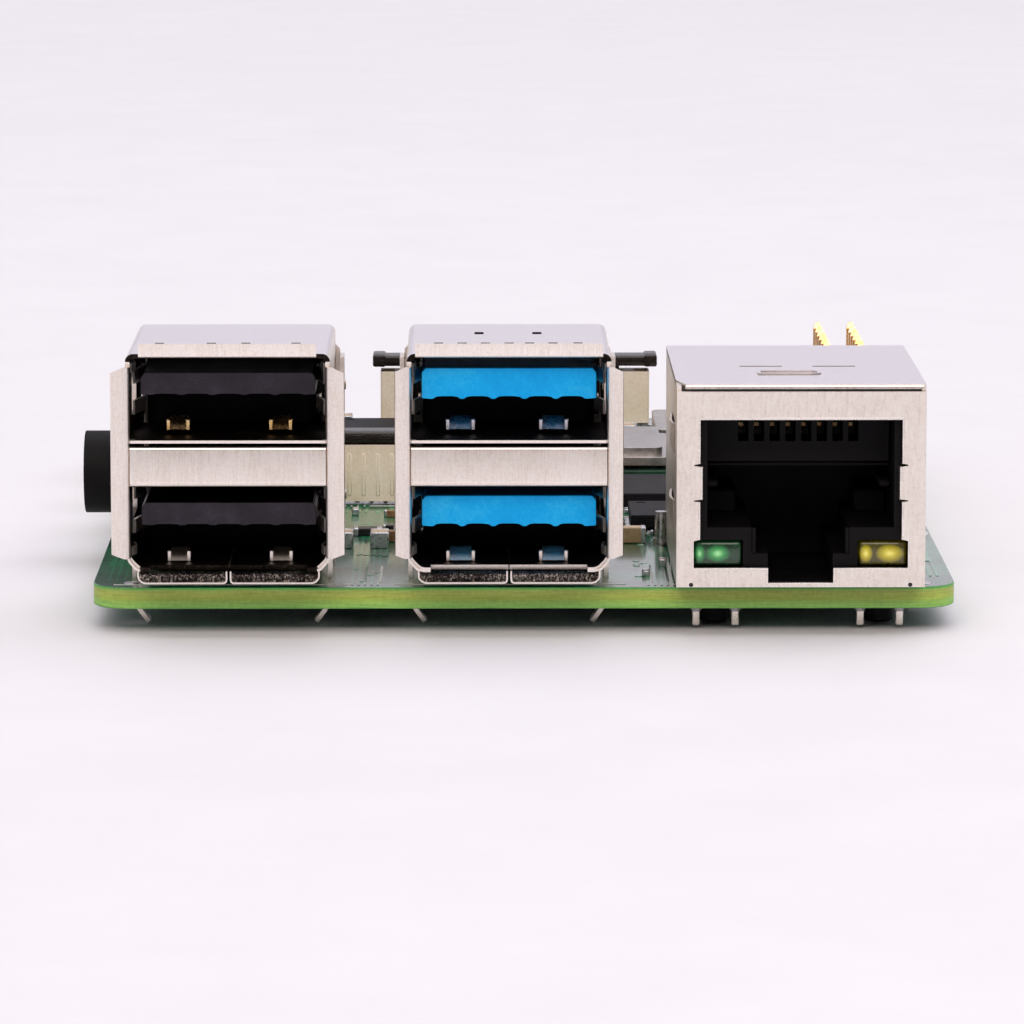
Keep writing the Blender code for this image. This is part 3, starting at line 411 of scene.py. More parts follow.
def foldedSheet(shape, path, front, back, windows, thickness):
    # a flat blank cut where it bends and round its windows, then folded along its path in X and Z
    points = [Vector(point) for point in path]
    stations = [0.0]
    for before, after in zip(points, points[1:]):
        stations.append(stations[-1] + (after - before).length)
    made = bmesh.ops.create_grid(shape, x_segments=1, y_segments=1, size=0.5)["verts"]
    bmesh.ops.scale(shape, vec=(stations[-1], back - front, 1), verts=made)
    bmesh.ops.translate(shape, vec=(stations[-1] / 2, (front + back) / 2, 0), verts=made)
    cutsAlong = set(stations[1:-1]) | {edge for window in windows for edge in (window[0], window[2])}
    cutsBack = {edge for window in windows for edge in (window[1], window[3])}
    faces = list(dict.fromkeys(face for vert in made for face in vert.link_faces))
    for cuts, axis in ((cutsAlong, Vector((1, 0, 0))), (cutsBack, Vector((0, 1, 0)))):
        for cut in sorted(cuts):
            parts = dict.fromkeys(part for face in faces for part in (*face.edges, *face.verts))
            result = bmesh.ops.bisect_plane(shape, geom=faces + list(parts), dist=1e-5, plane_co=axis * cut,
                                            plane_no=axis)
            faces = [item for item in result["geom"] if isinstance(item, bmesh.types.BMFace)]
    gone = []
    for face in faces:
        at = face.calc_center_median()
        if any(window[0] < at.x < window[2] and window[1] < at.y < window[3] for window in windows):
            gone.append(face)
    bmesh.ops.delete(shape, geom=gone, context="FACES")
    faces = [face for face in faces if face.is_valid]
    for vert in dict.fromkeys(vert for face in faces for vert in face.verts):
        along = min(max(vert.co.x, 0.0), stations[-1])
        i = max(k for k, station in enumerate(stations[:-1]) if station <= along + 1e-6)
        share = (along - stations[i]) / (stations[i + 1] - stations[i])
        at = points[i].lerp(points[i + 1], share)
        vert.co = Vector((at.x, vert.co.y, at.y))
    shape.normal_update()  # the fold has turned the faces, and the wall grows along their normals
    bmesh.ops.solidify(shape, geom=faces, thickness=-thickness)


def finishPiece(shape, name, look, replaced=(), body="board", bevel=0.0, steps=2):
    sharpAngle = 0.62  # radians, past which an edge stays crisp or is rounded
    bmesh.ops.recalc_face_normals(shape, faces=shape.faces)
    for face in shape.faces:
        face.smooth = True
    for edge in shape.edges:
        edge.smooth = len(edge.link_faces) == 2 and edge.calc_face_angle(0) < sharpAngle
    bmesh.ops.scale(shape, vec=(1 / metre,) * 3, verts=shape.verts)
    mesh = bpy.data.meshes.new(name)
    shape.to_mesh(mesh)
    shape.free()
    piece = bpy.data.objects.new(name, mesh)
    bpy.context.scene.collection.objects.link(piece)
    for key in [look] if isinstance(look, str) else look:
        mesh.materials.append(finish[key])
    if bevel:
        rounded = piece.modifiers.new("edgeRounding", "BEVEL")
        rounded.width = bevel / metre
        rounded.segments = steps
        rounded.limit_method = "ANGLE"
        rounded.angle_limit = sharpAngle
        rounded.harden_normals = True
        rounded.use_clamp_overlap = True
    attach(piece, body)
    if replaced:
        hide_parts(*replaced)


boardSizes = {
    "cornerRadius": 3.0,
    "holeRadius": 1.35,
    "holeX": 24.5,
    "holeY": (-19.0, 39.0),
    "padRadius": 3.1,
    "trackHeight": 0.03,
    "trackWidth": 0.16,
    "vias": 190,
}
holeSpots = [(centreX + side * boardSizes["holeX"], centreY + y) for side in sides for y in boardSizes["holeY"]]

shape = bmesh.new()
outline = roundLoop(rect(boardLow.x, boardLow.y, boardHigh.x, boardHigh.y), boardSizes["cornerRadius"], 8)
prism(shape, "z", boardBottom, boardTop - boardBottom, outline,
      *[hole(at, boardSizes["holeRadius"], 40) for at in holeSpots])
for face in shape.faces:
    face.normal_update()
    face.material_index = 1 if abs(face.normal.z) < 0.5 else 0
finishPiece(shape, "bareBoard", ("mask", "edge"), ["circuit_board"], bevel=0.07, steps=2)

shape = bmesh.new()
for at in holeSpots:
    for z, depth in ((boardTop, 0.04), (boardBottom, -0.04)):
        prism(shape, "z", z, depth, hole(at, boardSizes["padRadius"], 48),
              hole(at, boardSizes["holeRadius"] + 0.08, 40))
finishPiece(shape, "mountingPads", "tin")

# everything that stands on the board, as footprints to keep small parts and vias clear of
footprints = []
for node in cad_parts:
    if node != "circuit_board" and not node.startswith("card_slot"):
        low, high = corners(node)
        footprints.append((low.x, low.y, high.x, high.y))
for x, y in holeSpots:
    footprints.append((x - 3.2, y - 3.2, x + 3.2, y + 3.2))


def isFree(lowX, lowY, highX, highY, gap=0.25):
    inside = (boardLow.x + 0.8 < lowX and highX < boardHigh.x - 0.8
              and boardLow.y + 0.6 < lowY and highY < boardHigh.y - 0.6)
    return inside and not any(
        lowX < f[2] + gap and highX > f[0] - gap and lowY < f[3] + gap and highY > f[1] - gap for f in footprints)


def tracks(shape, z, rise, bundles):  # start, end, count and pitch of parallel tracks with one 45 degree jog each
    for startX, startY, endX, endY, count, pitch in bundles:
        start, end = (centreX + startX, centreY + startY), (centreX + endX, centreY + endY)
        long = 1 if abs(end[1] - start[1]) > abs(end[0] - start[0]) else 0  # the axis that a bundle mostly follows
        run, jog = end[long] - start[long], end[1 - long] - start[1 - long]
        step = math.copysign(abs(jog), run)
        for k in range(count):
            shift = (k - (count - 1) / 2) * pitch
            turn = start[long] + run * 0.45 + shift * (-1 if jog * run > 0 else 1) * 0.4
            before, after = start[1 - long] + shift, end[1 - long] + shift
            path = [(before, start[long]), (before, turn), (after, turn + step), (after, end[long])]
            path = path if long else [(a, b) for b, a in path]
            prism(shape, "z", z, rise, thicken(path, boardSizes["trackWidth"]))


shape = bmesh.new()
tracks(shape, boardTop, boardSizes["trackHeight"], [
    (-3, -16, -3, -8.6, 9, 0.42), (4, -8.2, 5.5, 5.4, 14, 0.5), (-4.2, 10, -15, 8, 8, 0.4),
    (-4.2, 16, -20.4, 17, 8, 0.42), (8, 21, 13.5, 25, 8, 0.42), (12.4, 12, 20.6, 14, 12, 0.48),
    (12.2, 2, 20.8, -2, 7, 0.5), (3.2, -20, 7.2, -16, 6, 0.4), (-10, -18, -10.4, -41.6, 5, 0.42),
    (8.6, -25, 8.6, -41.8, 4, 0.42), (-1, 27, -1, 36, 10, 0.55), (-12, 3, -12, -9, 6, 0.45),
    (-14, 26, -20.5, 31, 6, 0.45), (14.6, -13, 17, -21, 6, 0.4), (-18, -18.5, -18, -24, 6, 0.5),
    (26.9, -38, 26.9, -24, 2, 0.45), (-26.4, -40, -26.4, -25, 3, 0.5),
])
tracks(shape, boardBottom, -boardSizes["trackHeight"], [
    (-20, -20, -10, 10, 10, 0.5), (0, -24, 2, 22, 16, 0.5), (10, -20, 19, 14, 12, 0.5),
    (-16, 22, -8, 38, 8, 0.5), (-24, 0, -12, 2, 9, 0.5), (9, 24, 18, 34, 10, 0.5),
])
finishPiece(shape, "copperTracks", "copperMask")


def scatter(x, y, step):  # a place from the board's middle, moved onto a grid
    return round(x / step) * step, round(y / step) * step


shape = bmesh.new()
viaCount = 0
while viaCount < boardSizes["vias"]:
    x, y = scatter(dice.uniform(-26, 26), dice.uniform(-41, 41), 0.5)
    x, y = centreX + x, centreY + y
    if isFree(x - 0.3, y - 0.3, x + 0.3, y + 0.3, 0.1):
        post(shape, x, y, boardTop, up(0.045), 0.26, 0.2, 8)
        viaCount += 1
    if dice.random() < 0.5:
        post(shape, x, y, boardBottom, boardBottom - 0.04, 0.26, 0.2, 8)
finishPiece(shape, "vias", "copperMask")

shape = bmesh.new()
padSpots = [(dice.uniform(-24, 24), dice.uniform(-38, 38)) for _ in range(34)]
for x, y in padSpots:  # round test pads on the underside
    post(shape, centreX + x, centreY + y, boardBottom, boardBottom - 0.05, 0.5, 0.46)
for x, y in ((-25.5, -40.5), (26, -40.6), (-25.4, 33)):  # corner targets on top
    post(shape, centreX + x, centreY + y, boardTop, up(0.05), 0.5, 0.46, 20)
finishPiece(shape, "testPads", "tin")

shape = bmesh.new()
line, rise, rim = 0.16, 0.03, 0.3  # width and height of a printed line, and the bare rim round the board
for node, grow in (("processor", 0.7), ("memory_chip", 0.5), ("usb_controller", 0.5), ("ethernet_controller", 0.5),
                   ("power_controller", 0.4), ("pin_header", 0.25), ("small_pin_header", 0.25), ("audio_jack", 0.3),
                   ("camera_connector_body", 0.35), ("display_connector_body", 0.3), ("crystal", 0.3),
                   ("wireless_shield_can", 0.35), ("inductor_1", 0.3), ("inductor_2", 0.3)):
    low, high = corners(node)
    frameLow = Vector((max(low.x - grow, boardLow.x + rim), max(low.y - grow, boardLow.y + rim)))
    frameHigh = Vector((min(high.x + grow, boardHigh.x - rim), min(high.y + grow, boardHigh.y - rim)))
    prism(shape, "z", boardTop, rise, inner(frameLow, frameHigh, 0), inner(frameLow, frameHigh, line))
for at in holeSpots:
    prism(shape, "z", boardTop, rise, hole(at, 3.35, 48), hole(at, 3.2, 48))
for x, length in ((-19, 15.2), (-1, 15.2), (17.75, 17)):  # where each port's front stops
    pad(shape, centreX + x, boardLow.y + 1.19, length / 2, 0.09, boardTop, up(rise))
for x in (-10.4, -9.4, 8.3, 9.3):
    pad(shape, centreX + x + line / 2, boardLow.y + 5.5, line / 2, 3.5, boardTop, up(rise))
finishPiece(shape, "printedLines", "ink")
print("board made")


usbSizes = {
    "halfWidth": 6.55,
    "floor": 1.35,  # heights here are above the board's top face
    "top": 15.47,
    "depth": 17.2,
    "sheet": 0.3,
    "chamfer": 0.8,  # cut corners at the floor
    "roofChamfer": 0.3,
    "flangeHalf": {"usbBlack": 7.48, "usbBlue": 7.32},
    "flangeLow": 2.3,
    "flangeHigh": 14.65,
    "lipHalf": {"usbBlack": 5.68, "usbBlue": 6.0},
    "floorLipHalf": 5.85,
    "lipTop": 16.19,
    "lipBottom": 0.66,
    "legs": (7.2, 14.1),  # from the front
    "tabSpots": {"usbBlack": (-3.3, 3.3), "usbBlue": (-3.12, 2.88)},
    "tabWidth": {"usbBlack": 1.5, "usbBlue": 1.95},
    "tabRise": 0.85,
    "roofMarks": {"usbBlack": (-4.3, -1.0, 1.2, 4.4), "usbBlue": (-4.5, -3.0, -1.5, 0.0, 1.3, 2.8, 4.4)},
    # the black tongues are thinner: off the bottom, off the top
    "tongueTrim": {"usbBlackUpperTongue": (0.27, 0.3), "usbBlackLowerTongue": (0.08, 0.45)},
}


def usbWindows(name, path, front):  # openings of the flat blank: along from the seam and back from the front
    half, floor, top, cut = (usbSizes[key] for key in ("halfWidth", "floor", "top", "chamfer"))
    length = sum((b - a).length for a, b in zip(path, path[1:]))
    side = half - cut + cut * 1.2 + (top - floor) / 2  # developed distance to the middle of a side wall
    windows = []
    for centre in (side + 3.4, side - 3.6):  # spring windows, two to a side, mirrored
        for at in (centre, length - centre):
            windows.append((at - 1.1, front + 3.0, at + 1.1, front + 8.2))
            windows.append((at - 0.8, front + 11.0, at + 0.8, front + 12.6))
    for start, end in ((-0.1, 5.0), (length - 5.0, length + 0.1)):  # floor set back behind its lip
        windows.append((start, front, end, front + 1.7))
    for s in sides if name == "usbBlue" else ():  # small square pierced holes in the roof
        at = length / 2 + s * 1.9
        windows.append((at - 0.3, front + 11.4, at + 0.3, front + 12.6))
    return windows


def usbShell(name, node):
    low, high = corners(node)
    x, front, t = (low.x + high.x) / 2, low.y, usbSizes["sheet"]
    half, floor, top, cut, roofCut = (usbSizes[key] for key in (
        "halfWidth", "floor", "top", "chamfer", "roofChamfer"))
    lipHalf = usbSizes["lipHalf"][name]
    shape = bmesh.new()
    right = [(0.04, floor), (half - cut, floor), (half, floor + cut), (half, top - roofCut), (half - roofCut, top)]
    path = [(x + a, up(b)) for a, b in right] + [(x - a, up(b)) for a, b in reversed(right)]
    path = roundBends(path, 0.35, 3)
    foldedSheet(shape, path, front + 0.55, front + usbSizes["depth"], usbWindows(name, path, front), t)
    for s in sides:  # flared side flanges, clipped at their outer ends
        made = strip(shape, "z", [(x + s * (half - 0.06), front + 0.9), (x + s * (half - 0.04), front + 0.22),
                                  (x + s * (half + 0.2), front + 0.1), (x + s * usbSizes["flangeHalf"][name], front)],
                     -0.26 * s, up(usbSizes["flangeLow"]), up(usbSizes["flangeHigh"]), 0.16)
        for vert in made:
            outer = max(0.0, abs(vert.co.x - x) - half - 0.1)
            vert.co.z += outer * (-0.45 if vert.co.z > up(8) else 0.4)
    # roof lip: a bright band bent up over the roof's front edge
    strip(shape, "x", [(front + 1.15, up(top - 0.28)), (front + 0.5, up(top - 0.26)), (front + 0.03, up(top - 0.2)),
                       (front, up(usbSizes["lipTop"]))], -0.24, x - lipHalf, x + lipHalf, 0.3)
    bmesh.ops.recalc_face_normals(shape, faces=shape.faces)
    for face in shape.faces:  # the faces that look into the shell, the front faces under the roof lip and the black stack's floor get painted shade; the level roof gets the smooth roof finish with its painted reflection
        at, normal = face.calc_center_median(), face.normal
        inward = Vector((x - at.x, 0, up((floor + top) / 2) - at.z)).normalized()
        # painted shade: the black stack's floor and the front faces set back under the roof lip are drawn dark
        paintedShadeFloor = name == "usbBlack" and at.z < up(floor + 0.4) and abs(at.x - x) < half - cut
        rim = normal.y < -0.7 and at.y > front + 0.5 and (at.z > up(top - 0.6) or paintedShadeFloor)
        if rim or (normal.dot(inward) > 0.3 and abs(normal.y) < 0.35):
            face.material_index = 1
        elif normal.z > 0.7 and at.z > up(top - 0.2):
            face.material_index = 2
    for s in sides:
        for z in (13.7, 11.7, 6.2, 4.0):  # spring fingers that bulge into each bay
            strip(shape, "z", [(x + s * (half - 0.3), front + 3.1), (x + s * (half - 0.55), front + 4.4),
                               (x + s * (half - 0.9), front + 5.6), (x + s * (half - 0.7), front + 6.9)],
                  0.18 * s, up(z - 0.45), up(z + 0.45), 0.6)
        for z in (14.55, 9.0, 2.7):
            strip(shape, "z", [(x + s * (half - 0.28), front + 0.8), (x + s * (half - 0.52), front + 1.7),
                               (x + s * (half - 0.32), front + 3.0)], 0.14 * s, up(z - 0.28), up(z + 0.28), 0.4)
        for leg in usbSizes["legs"]:  # kinked board legs
            strip(shape, "y", [(x + s * (half - 0.3), up(floor + 1.6)), (x + s * (half - 0.3), boardBottom + 0.2),
                               (x + s * (half - 0.5), boardBottom - 0.4), (x + s * (half - 1.2), 0.08)],
                  0.28 * s, front + leg - 0.6, front + leg + 0.6, 0.3)
    for at in usbSizes["tabSpots"][name]:  # spring tabs of the lower bay stand on the shell's floor
        floorTab(shape, x + at, front, up(floor + t), usbSizes["tabWidth"][name] / 2)
    finishPiece(shape, name + "Shell", ("shell", "innerShellPaintedShade", "roof"), [node])
    usbMouth(name, x, front)


def usbMouth(name, x, front):
    # floor lip: a thin bright outline round a pitted panel darkened with painted shade, with the seam in its middle
    half, floor, lip = usbSizes["halfWidth"], usbSizes["floor"], usbSizes["floorLipHalf"]
    bottom, upper = up(usbSizes["lipBottom"]), up(floor + 0.12)
    shape, panel = bmesh.new(), bmesh.new()
    for s in sides:
        strip(shape, "y", [(x + s * lip, upper), (x + s * lip, bottom + 0.3), (x + s * (lip - 0.35), bottom),
                           (x + s * 0.08, bottom), (x + s * 0.08, upper)], -0.1 * s, front + 0.08, front + 0.5, 0.3)
        strip(shape, "y", [(x + s * (half - 0.05), up(usbSizes["flangeLow"] + 0.15)),
                           (x + s * (half - 0.1), up(floor + 0.75)), (x + s * (lip + 0.1), upper + 0.05),
                           (x + s * (lip - 0.15), upper - 0.02)], -0.14 * s, front + 0.2, front + 0.8, 0.25)
        near, far = sorted((x + s * 0.1, x + s * (lip - 0.1)))
        strip(panel, "x", [(front + 0.9, up(floor + 0.02)), (front + 0.45, up(floor - 0.1)),
                           (front + 0.3, bottom + 0.06)], 0.12, near, far, 0.2)
        for k in range(7):  # pressed nubs that read as a speckled, stippled panel
            at = x + s * (0.6 + k * 0.7)
            block(panel, (at - 0.2, front + 0.22, bottom + 0.2),
                  (at + 0.12 + 0.1 * (k % 2), front + 0.34, bottom + 0.42 + 0.1 * (k % 3)), 0.03)
    finishPiece(shape, name + "FloorLip", "shell")
    finishPiece(panel, name + "FloorPanel", "dullPlate")
    shape = bmesh.new()  # pierced dashes along the roof bend, drawn dark as painted shade
    for at in usbSizes["roofMarks"][name]:
        pad(shape, x + at, front + 0.26, 0.3, 0.16, up(usbSizes["lipTop"] - 0.03), up(usbSizes["lipTop"] + 0.02),
            0.02)
    finishPiece(shape, name + "BendSlots", "dullPlate")


def floorTab(shape, x, front, floor, half):  # a spring tab that rises from a bay's floor, wider at its curled tip
    rise = usbSizes["tabRise"]
    strip(shape, "x", [(front + 8.2, floor), (front + 5.6, floor + rise * 0.75), (front + 4.4, floor + rise),
                       (front + 3.2, floor + rise * 0.55), (front + 2.9, floor + 0.12)], 0.16,
          x - half * 0.72, x + half * 0.72, 0.8)
    for s in sides:
        pad(shape, x + s * half * 0.84, front + 3.3, 0.14, 0.2, floor, floor + rise * 0.85, 0.05)


def usbDivider(name, node, tabLook):
    low, high = corners(node)
    x, front, half = (low.x + high.x) / 2, low.y, usbSizes["halfWidth"] - 0.28
    shape = bmesh.new()
    # one sheet makes the underside, the face and a fold behind it; a second plate lies above, set back
    strip(shape, "x", [(high.y, low.z), (front, low.z), (front, high.z - 0.66), (front + 0.5, high.z - 0.66)],
          -0.28, x - half, x + half, 0.42)
    strip(shape, "x", [(high.y, high.z - 0.44), (front + 0.62, high.z - 0.44), (front + 0.34, high.z - 0.48)], -0.2,
          x - half - 0.05, x + half + 0.05, 0.15)
    for s in sides:  # tabs that lock through the side walls
        edge = x + s * half
        block(shape, (edge - 0.25, front + 0.7, low.z + 0.35), (edge + 0.25, front + 2.0, low.z + 0.65), 0.05)
        block(shape, (edge - 0.25, front + 0.5, high.z - 0.5), (edge + 0.3, front + 1.5, high.z - 0.2), 0.05)
    for face in shape.faces:  # its level faces look into the bays and get painted shade
        face.normal_update()
        if abs(face.normal.z) > 0.7:
            face.material_index = 1
    finishPiece(shape, name + "Divider", ("shell", "innerShellPaintedShade"), [node], bevel=0.03)
    shape = bmesh.new()
    for at in usbSizes["tabSpots"][name]:
        floorTab(shape, x + at, front, high.z, usbSizes["tabWidth"][name] / 2)
    finishPiece(shape, name + "UpperTabs", tabLook)


def usbTongue(name, node, look, contactLook):
    low, high = corners(node)
    x, front, back = (low.x + high.x) / 2, low.y, high.y
    half = (high.x - low.x) / 2
    under, over = usbSizes["tongueTrim"].get(name, (0, 0))
    low.z, high.z = low.z + under, high.z - over
    shape, contacts, pads = bmesh.new(), bmesh.new(), bmesh.new()
    depth = 0.17 if look == "blue" else 0.08
    outline = [(x - half, low.z + 0.05)]
    for k in range(5):  # contact channels give the lower edge a scalloped line, with a long bowed contact in each
        at = x - 4.0 + k * 2.0
        outline += [(at + a, low.z + depth * share) for a, share in
                    ((-0.88, 0), (-0.66, 0.8), (-0.35, 1), (0.35, 1), (0.66, 0.8), (0.88, 0))]
        strip(contacts, "x", [(back, low.z + 0.05), (front + 6.2, low.z + 0.02), (front + 4.8, low.z - 0.2),
                              (front + 3.4, low.z + 0.04), (front + 3.0, low.z + 0.08)], 0.12,
              at - 0.35, at + 0.35, 0.7)
        pad(pads, at, front + 1.85, 0.5, 0.55, low.z + 0.16, low.z + 0.3, 0.04)  # short pads at the front edge
    outline += [(x + half, low.z + 0.05), (x + half, high.z - 0.3), (x + half - 0.25, high.z),
                (x - half + 0.25, high.z), (x - half, high.z - 0.3)]
    prism(shape, "y", front, back - front, outline)
    finishPiece(shape, name, look, [node], bevel=0.14, steps=3)
    finishPiece(contacts, name + "Contacts", contactLook)
    if look == "blue":
        finishPiece(pads, name + "Pads", contactLook)
    else:
        pads.free()


def usbInside(name, node, coverNode):
    low, high = corners(node)
    x = (low.x + high.x) / 2
    shape = bmesh.new()
    block(shape, (low.x + 0.35, low.y, low.z), (high.x - 0.35, high.y - 0.05, high.z - 0.3), 0.25, 2)
    for bayLow, bayHigh in ((up(10.5), up(14.6)), (up(2.0), up(6.4))):
        for s in sides:  # raised cheeks either side of each tongue root
            cheek = x + s * 5.85
            block(shape, (cheek - 0.35, low.y - 1.2, bayLow), (cheek + 0.1, low.y + 0.4, bayHigh), 0.12, 2)
        pad(shape, x, low.y - 0.1, 5.2, 0.5, bayHigh - 0.7, bayHigh - 0.2, 0.1, 2)
    finishPiece(shape, name + "Insulator", "black", [node])
    low, high = corners(coverNode)
    shape = bmesh.new()
    wall = usbSizes["sheet"]
    prism(shape, "y", high.y - wall, wall, rect(low.x + wall, low.z, high.x - wall, high.z, 0.4),
          rect(x - 4.6, low.z + 2.0, x - 1.2, low.z + 2.5), rect(x + 1.2, low.z + 2.0, x + 4.6, low.z + 2.5))
    for s in sides:
        wing = x + s * ((high.x - low.x) / 2)
        for z in (up(4.2), up(11.6)):  # wings folded round onto the side walls, with a lock dimple
            strip(shape, "z", [(wing - s * 0.6, high.y), (wing, high.y), (wing, low.y)], -0.28 * s,
                  z - 1.9, z + 1.9, 0.35)
            rod(shape, (wing - s * 0.05, low.y + 0.75, z), (wing + s * 0.12, low.y + 0.75, z), 0.45, 0.3)
    for z in (up(5.2), up(10.0)):  # two pressed stiffening ribs
        block(shape, (x - 4.2, high.y - 0.05, z - 0.3), (x + 4.2, high.y + 0.14, z + 0.3), 0.13, 2)
    finishPiece(shape, name + "RearCover", "shell", [coverNode], bevel=0.03)


for name, prefix, look, slotName, metal in (("usbBlack", "usb_black", "violet", "black_plastic", "gold"),
                                            ("usbBlue", "usb_blue", "blue", "blue_plastic", "tin")):
    usbShell(name, prefix + "_shield")
    usbDivider(name, prefix + "_divider", metal)
    usbTongue(name + "UpperTongue", prefix + "_upper_tongue", look, metal)
    usbTongue(name + "LowerTongue", prefix + "_lower_tongue", look, metal)
    usbInside(name, prefix + "_insulator", prefix + "_rear_cover")
    print(name, "stack made")


jackSizes = {
    "sheet": 0.3,
    "depth": 21.3,
    "faceHigh": 12.98,  # heights above the board's top face
    "roof": 13.45,
    "floor": 0.3,
    "mouthHalf": 6.47,
    "mouthLow": 1.56,
    "mouthHigh": 11.14,
    "windowHalf": 6.88,
    "windowHigh": 3.3,
    "notchHalf": 2.09,
    "notchLow": 0.6,
    "slitHeights": (5.9, 8.2),
    "slitReach": 6.86,
    "springEdge": 6.33,
    "lampLeads": (4.06, 6.6),
    "legFromBack": 9.8,
}


def bothHalves(x, half):  # an outline given from its low middle up to its high middle, mirrored about x
    return [(x + a, up(b)) for a, b in half] + [(x - a, up(b)) for a, b in reversed(half)]


def jackShield(x, front, half):
    t, floor, roof, back = jackSizes["sheet"], jackSizes["floor"], jackSizes["roof"], front + jackSizes["depth"]
    mouth, window, notch, reach, spring = (jackSizes[key] for key in (
        "mouthHalf", "windowHalf", "notchHalf", "slitReach", "springEdge"))
    low, high = jackSizes["slitHeights"]
    shape = bmesh.new()
    opening = bothHalves(x, [
        (notch, jackSizes["notchLow"]), (notch, jackSizes["mouthLow"]), (window, jackSizes["mouthLow"]),
        (window, jackSizes["windowHigh"]), (mouth, jackSizes["windowHigh"] + 0.1), (mouth, low - 0.08),
        (reach, low - 0.03), (reach, low + 0.05), (spring, low + 0.1), (spring, high - 0.1), (reach, high - 0.03),
        (reach, high + 0.05), (mouth, high + 0.12), (mouth, jackSizes["mouthHigh"])])
    prism(shape, "y", front, t, rect(x - half, up(floor), x + half, up(jackSizes["faceHigh"])), opening)
    for s in sides:
        wall = x + s * (half - t) if s > 0 else x - half
        # side walls with two spring windows each
        prism(shape, "x", wall, t, rect(front + t, up(floor), back, up(roof - 0.12)),
              rect(front + 4.0, up(8.4), front + 9.5, up(10.6)), rect(front + 4.0, up(3.4), front + 9.5, up(5.6)))
        for z in (9.5, 4.5):
            strip(shape, "z", [(x + s * (half - 0.05), front + 9.6), (x + s * (half + 0.06), front + 7.6),
                               (x + s * (half + 0.12), front + 6.0), (x + s * (half - 0.1), front + 4.3)], 0.16 * s,
                  up(z - 0.85), up(z + 0.85), 0.8)
        # finger between the slits, curling into the mouth
        strip(shape, "z", [(x + s * spring, front + 0.02), (x + s * (spring - 0.1), front + 1.2),
                           (x + s * (spring - 0.32), front + 2.6), (x + s * (spring - 0.1), front + 4.6)],
              -0.18 * s, up(low + 0.1), up(high - 0.1), 0.6)
        legY = back - jackSizes["legFromBack"]  # board legs
        strip(shape, "y", [(x + s * (half - 0.28), up(0.6)), (x + s * (half - 0.28), up(-0.3)),
                           (x + s * (half - 0.55), boardBottom - 0.3), (x + s * (half - 0.2), boardBottom - 0.9),
                           (x + s * (half - 0.5), 0.1)], 0.26 * s, legY - 0.75, legY + 0.75, 0.3)
    # roof, clipped at its near left corner, with a rolled lip over the face
    prism(shape, "z", up(roof - t), t,
          [(x - half + 0.55, front + 0.12), (x + half - 0.1, front + 0.12), (x + half, front + 0.7), (x + half, back),
           (x - half, back), (x - half, front + 2.5), (x - half + 0.3, front + 0.9)],
          rect(x - 3.6, front + 9.4, x - 0.8, front + 9.9), rect(x + 1.2, front + 9.4, x + 4.0, front + 9.9))
    strip(shape, "x", [(front + 0.5, up(roof - 0.02)), (front, up(roof - 0.06)), (front - 0.02, up(roof - 0.3))],
          0.16, x - half + 0.6, x + half - 0.18, 0.14)
    prism(shape, "y", back - t, t, rect(x - half + t, up(floor), x + half - t, up(roof - t - 0.02)),
          rect(x - 4.5, up(2.0), x + 4.5, up(2.6)))
    # an oval dimple pressed in the roof
    prism(shape, "z", up(roof), 0.07, roundLoop(rect(x - 2.6, front + 5.2, x + 1.6, front + 7.0), 0.85, 5),
          roundLoop(rect(x - 2.35, front + 5.45, x + 1.35, front + 6.75), 0.6, 5))
    bmesh.ops.recalc_face_normals(shape, faces=shape.faces)
    # the level roof takes the roof finish, lighter and cooler than the walls: a painted reflection
    for face in shape.faces:
        if face.normal.z > 0.7 and face.calc_center_median().z > up(roof - 0.1):
            face.material_index = 1
    finishPiece(shape, "jackShell", ("jackShell", "roof"), ["ethernet_shield"], bevel=0.035)

    shape = bmesh.new()  # bright sheared edges round the mouth
    lines = [(-mouth - 0.14, 11.14, mouth + 0.14, 11.3), (-notch, 0.46, notch, 0.6)]
    for inside, outside, bottom, top in ((notch, window + 0.02, 1.42, 1.56), (notch, notch + 0.14, 0.5, 1.44),
                                         (mouth, mouth + 0.12, high + 0.14, 11.2),
                                         (mouth, mouth + 0.12, 3.45, low - 0.1),
                                         (spring, spring + 0.12, low + 0.12, high - 0.12),
                                         (window, window + 0.12, 1.5, 3.3)):
        lines += [(inside, bottom, outside, top), (-outside, bottom, -inside, top)]
    for left, bottom, right, top in lines:
        block(shape, (x + left, front - 0.02, up(bottom)), (x + right, front + 0.12, up(top)), 0.02)
    finishPiece(shape, "jackMouthEdge", "cutEdge")

    shape = bmesh.new()  # two punched dimples low on the face, and the fold gap up left, all drawn dark as painted shade
    for s in sides:
        rod(shape, (x + s * 7.05, front + 0.06, up(0.46)), (x + s * 7.05, front - 0.03, up(0.46)), 0.17, 0.13, 12)
    block(shape, (x - half + 0.25, front + 0.32, up(12.95)), (x + half - 0.25, front + 0.6, up(13.16)), 0.03)
    finishPiece(shape, "jackDimplesPaintedShade", "resistor")


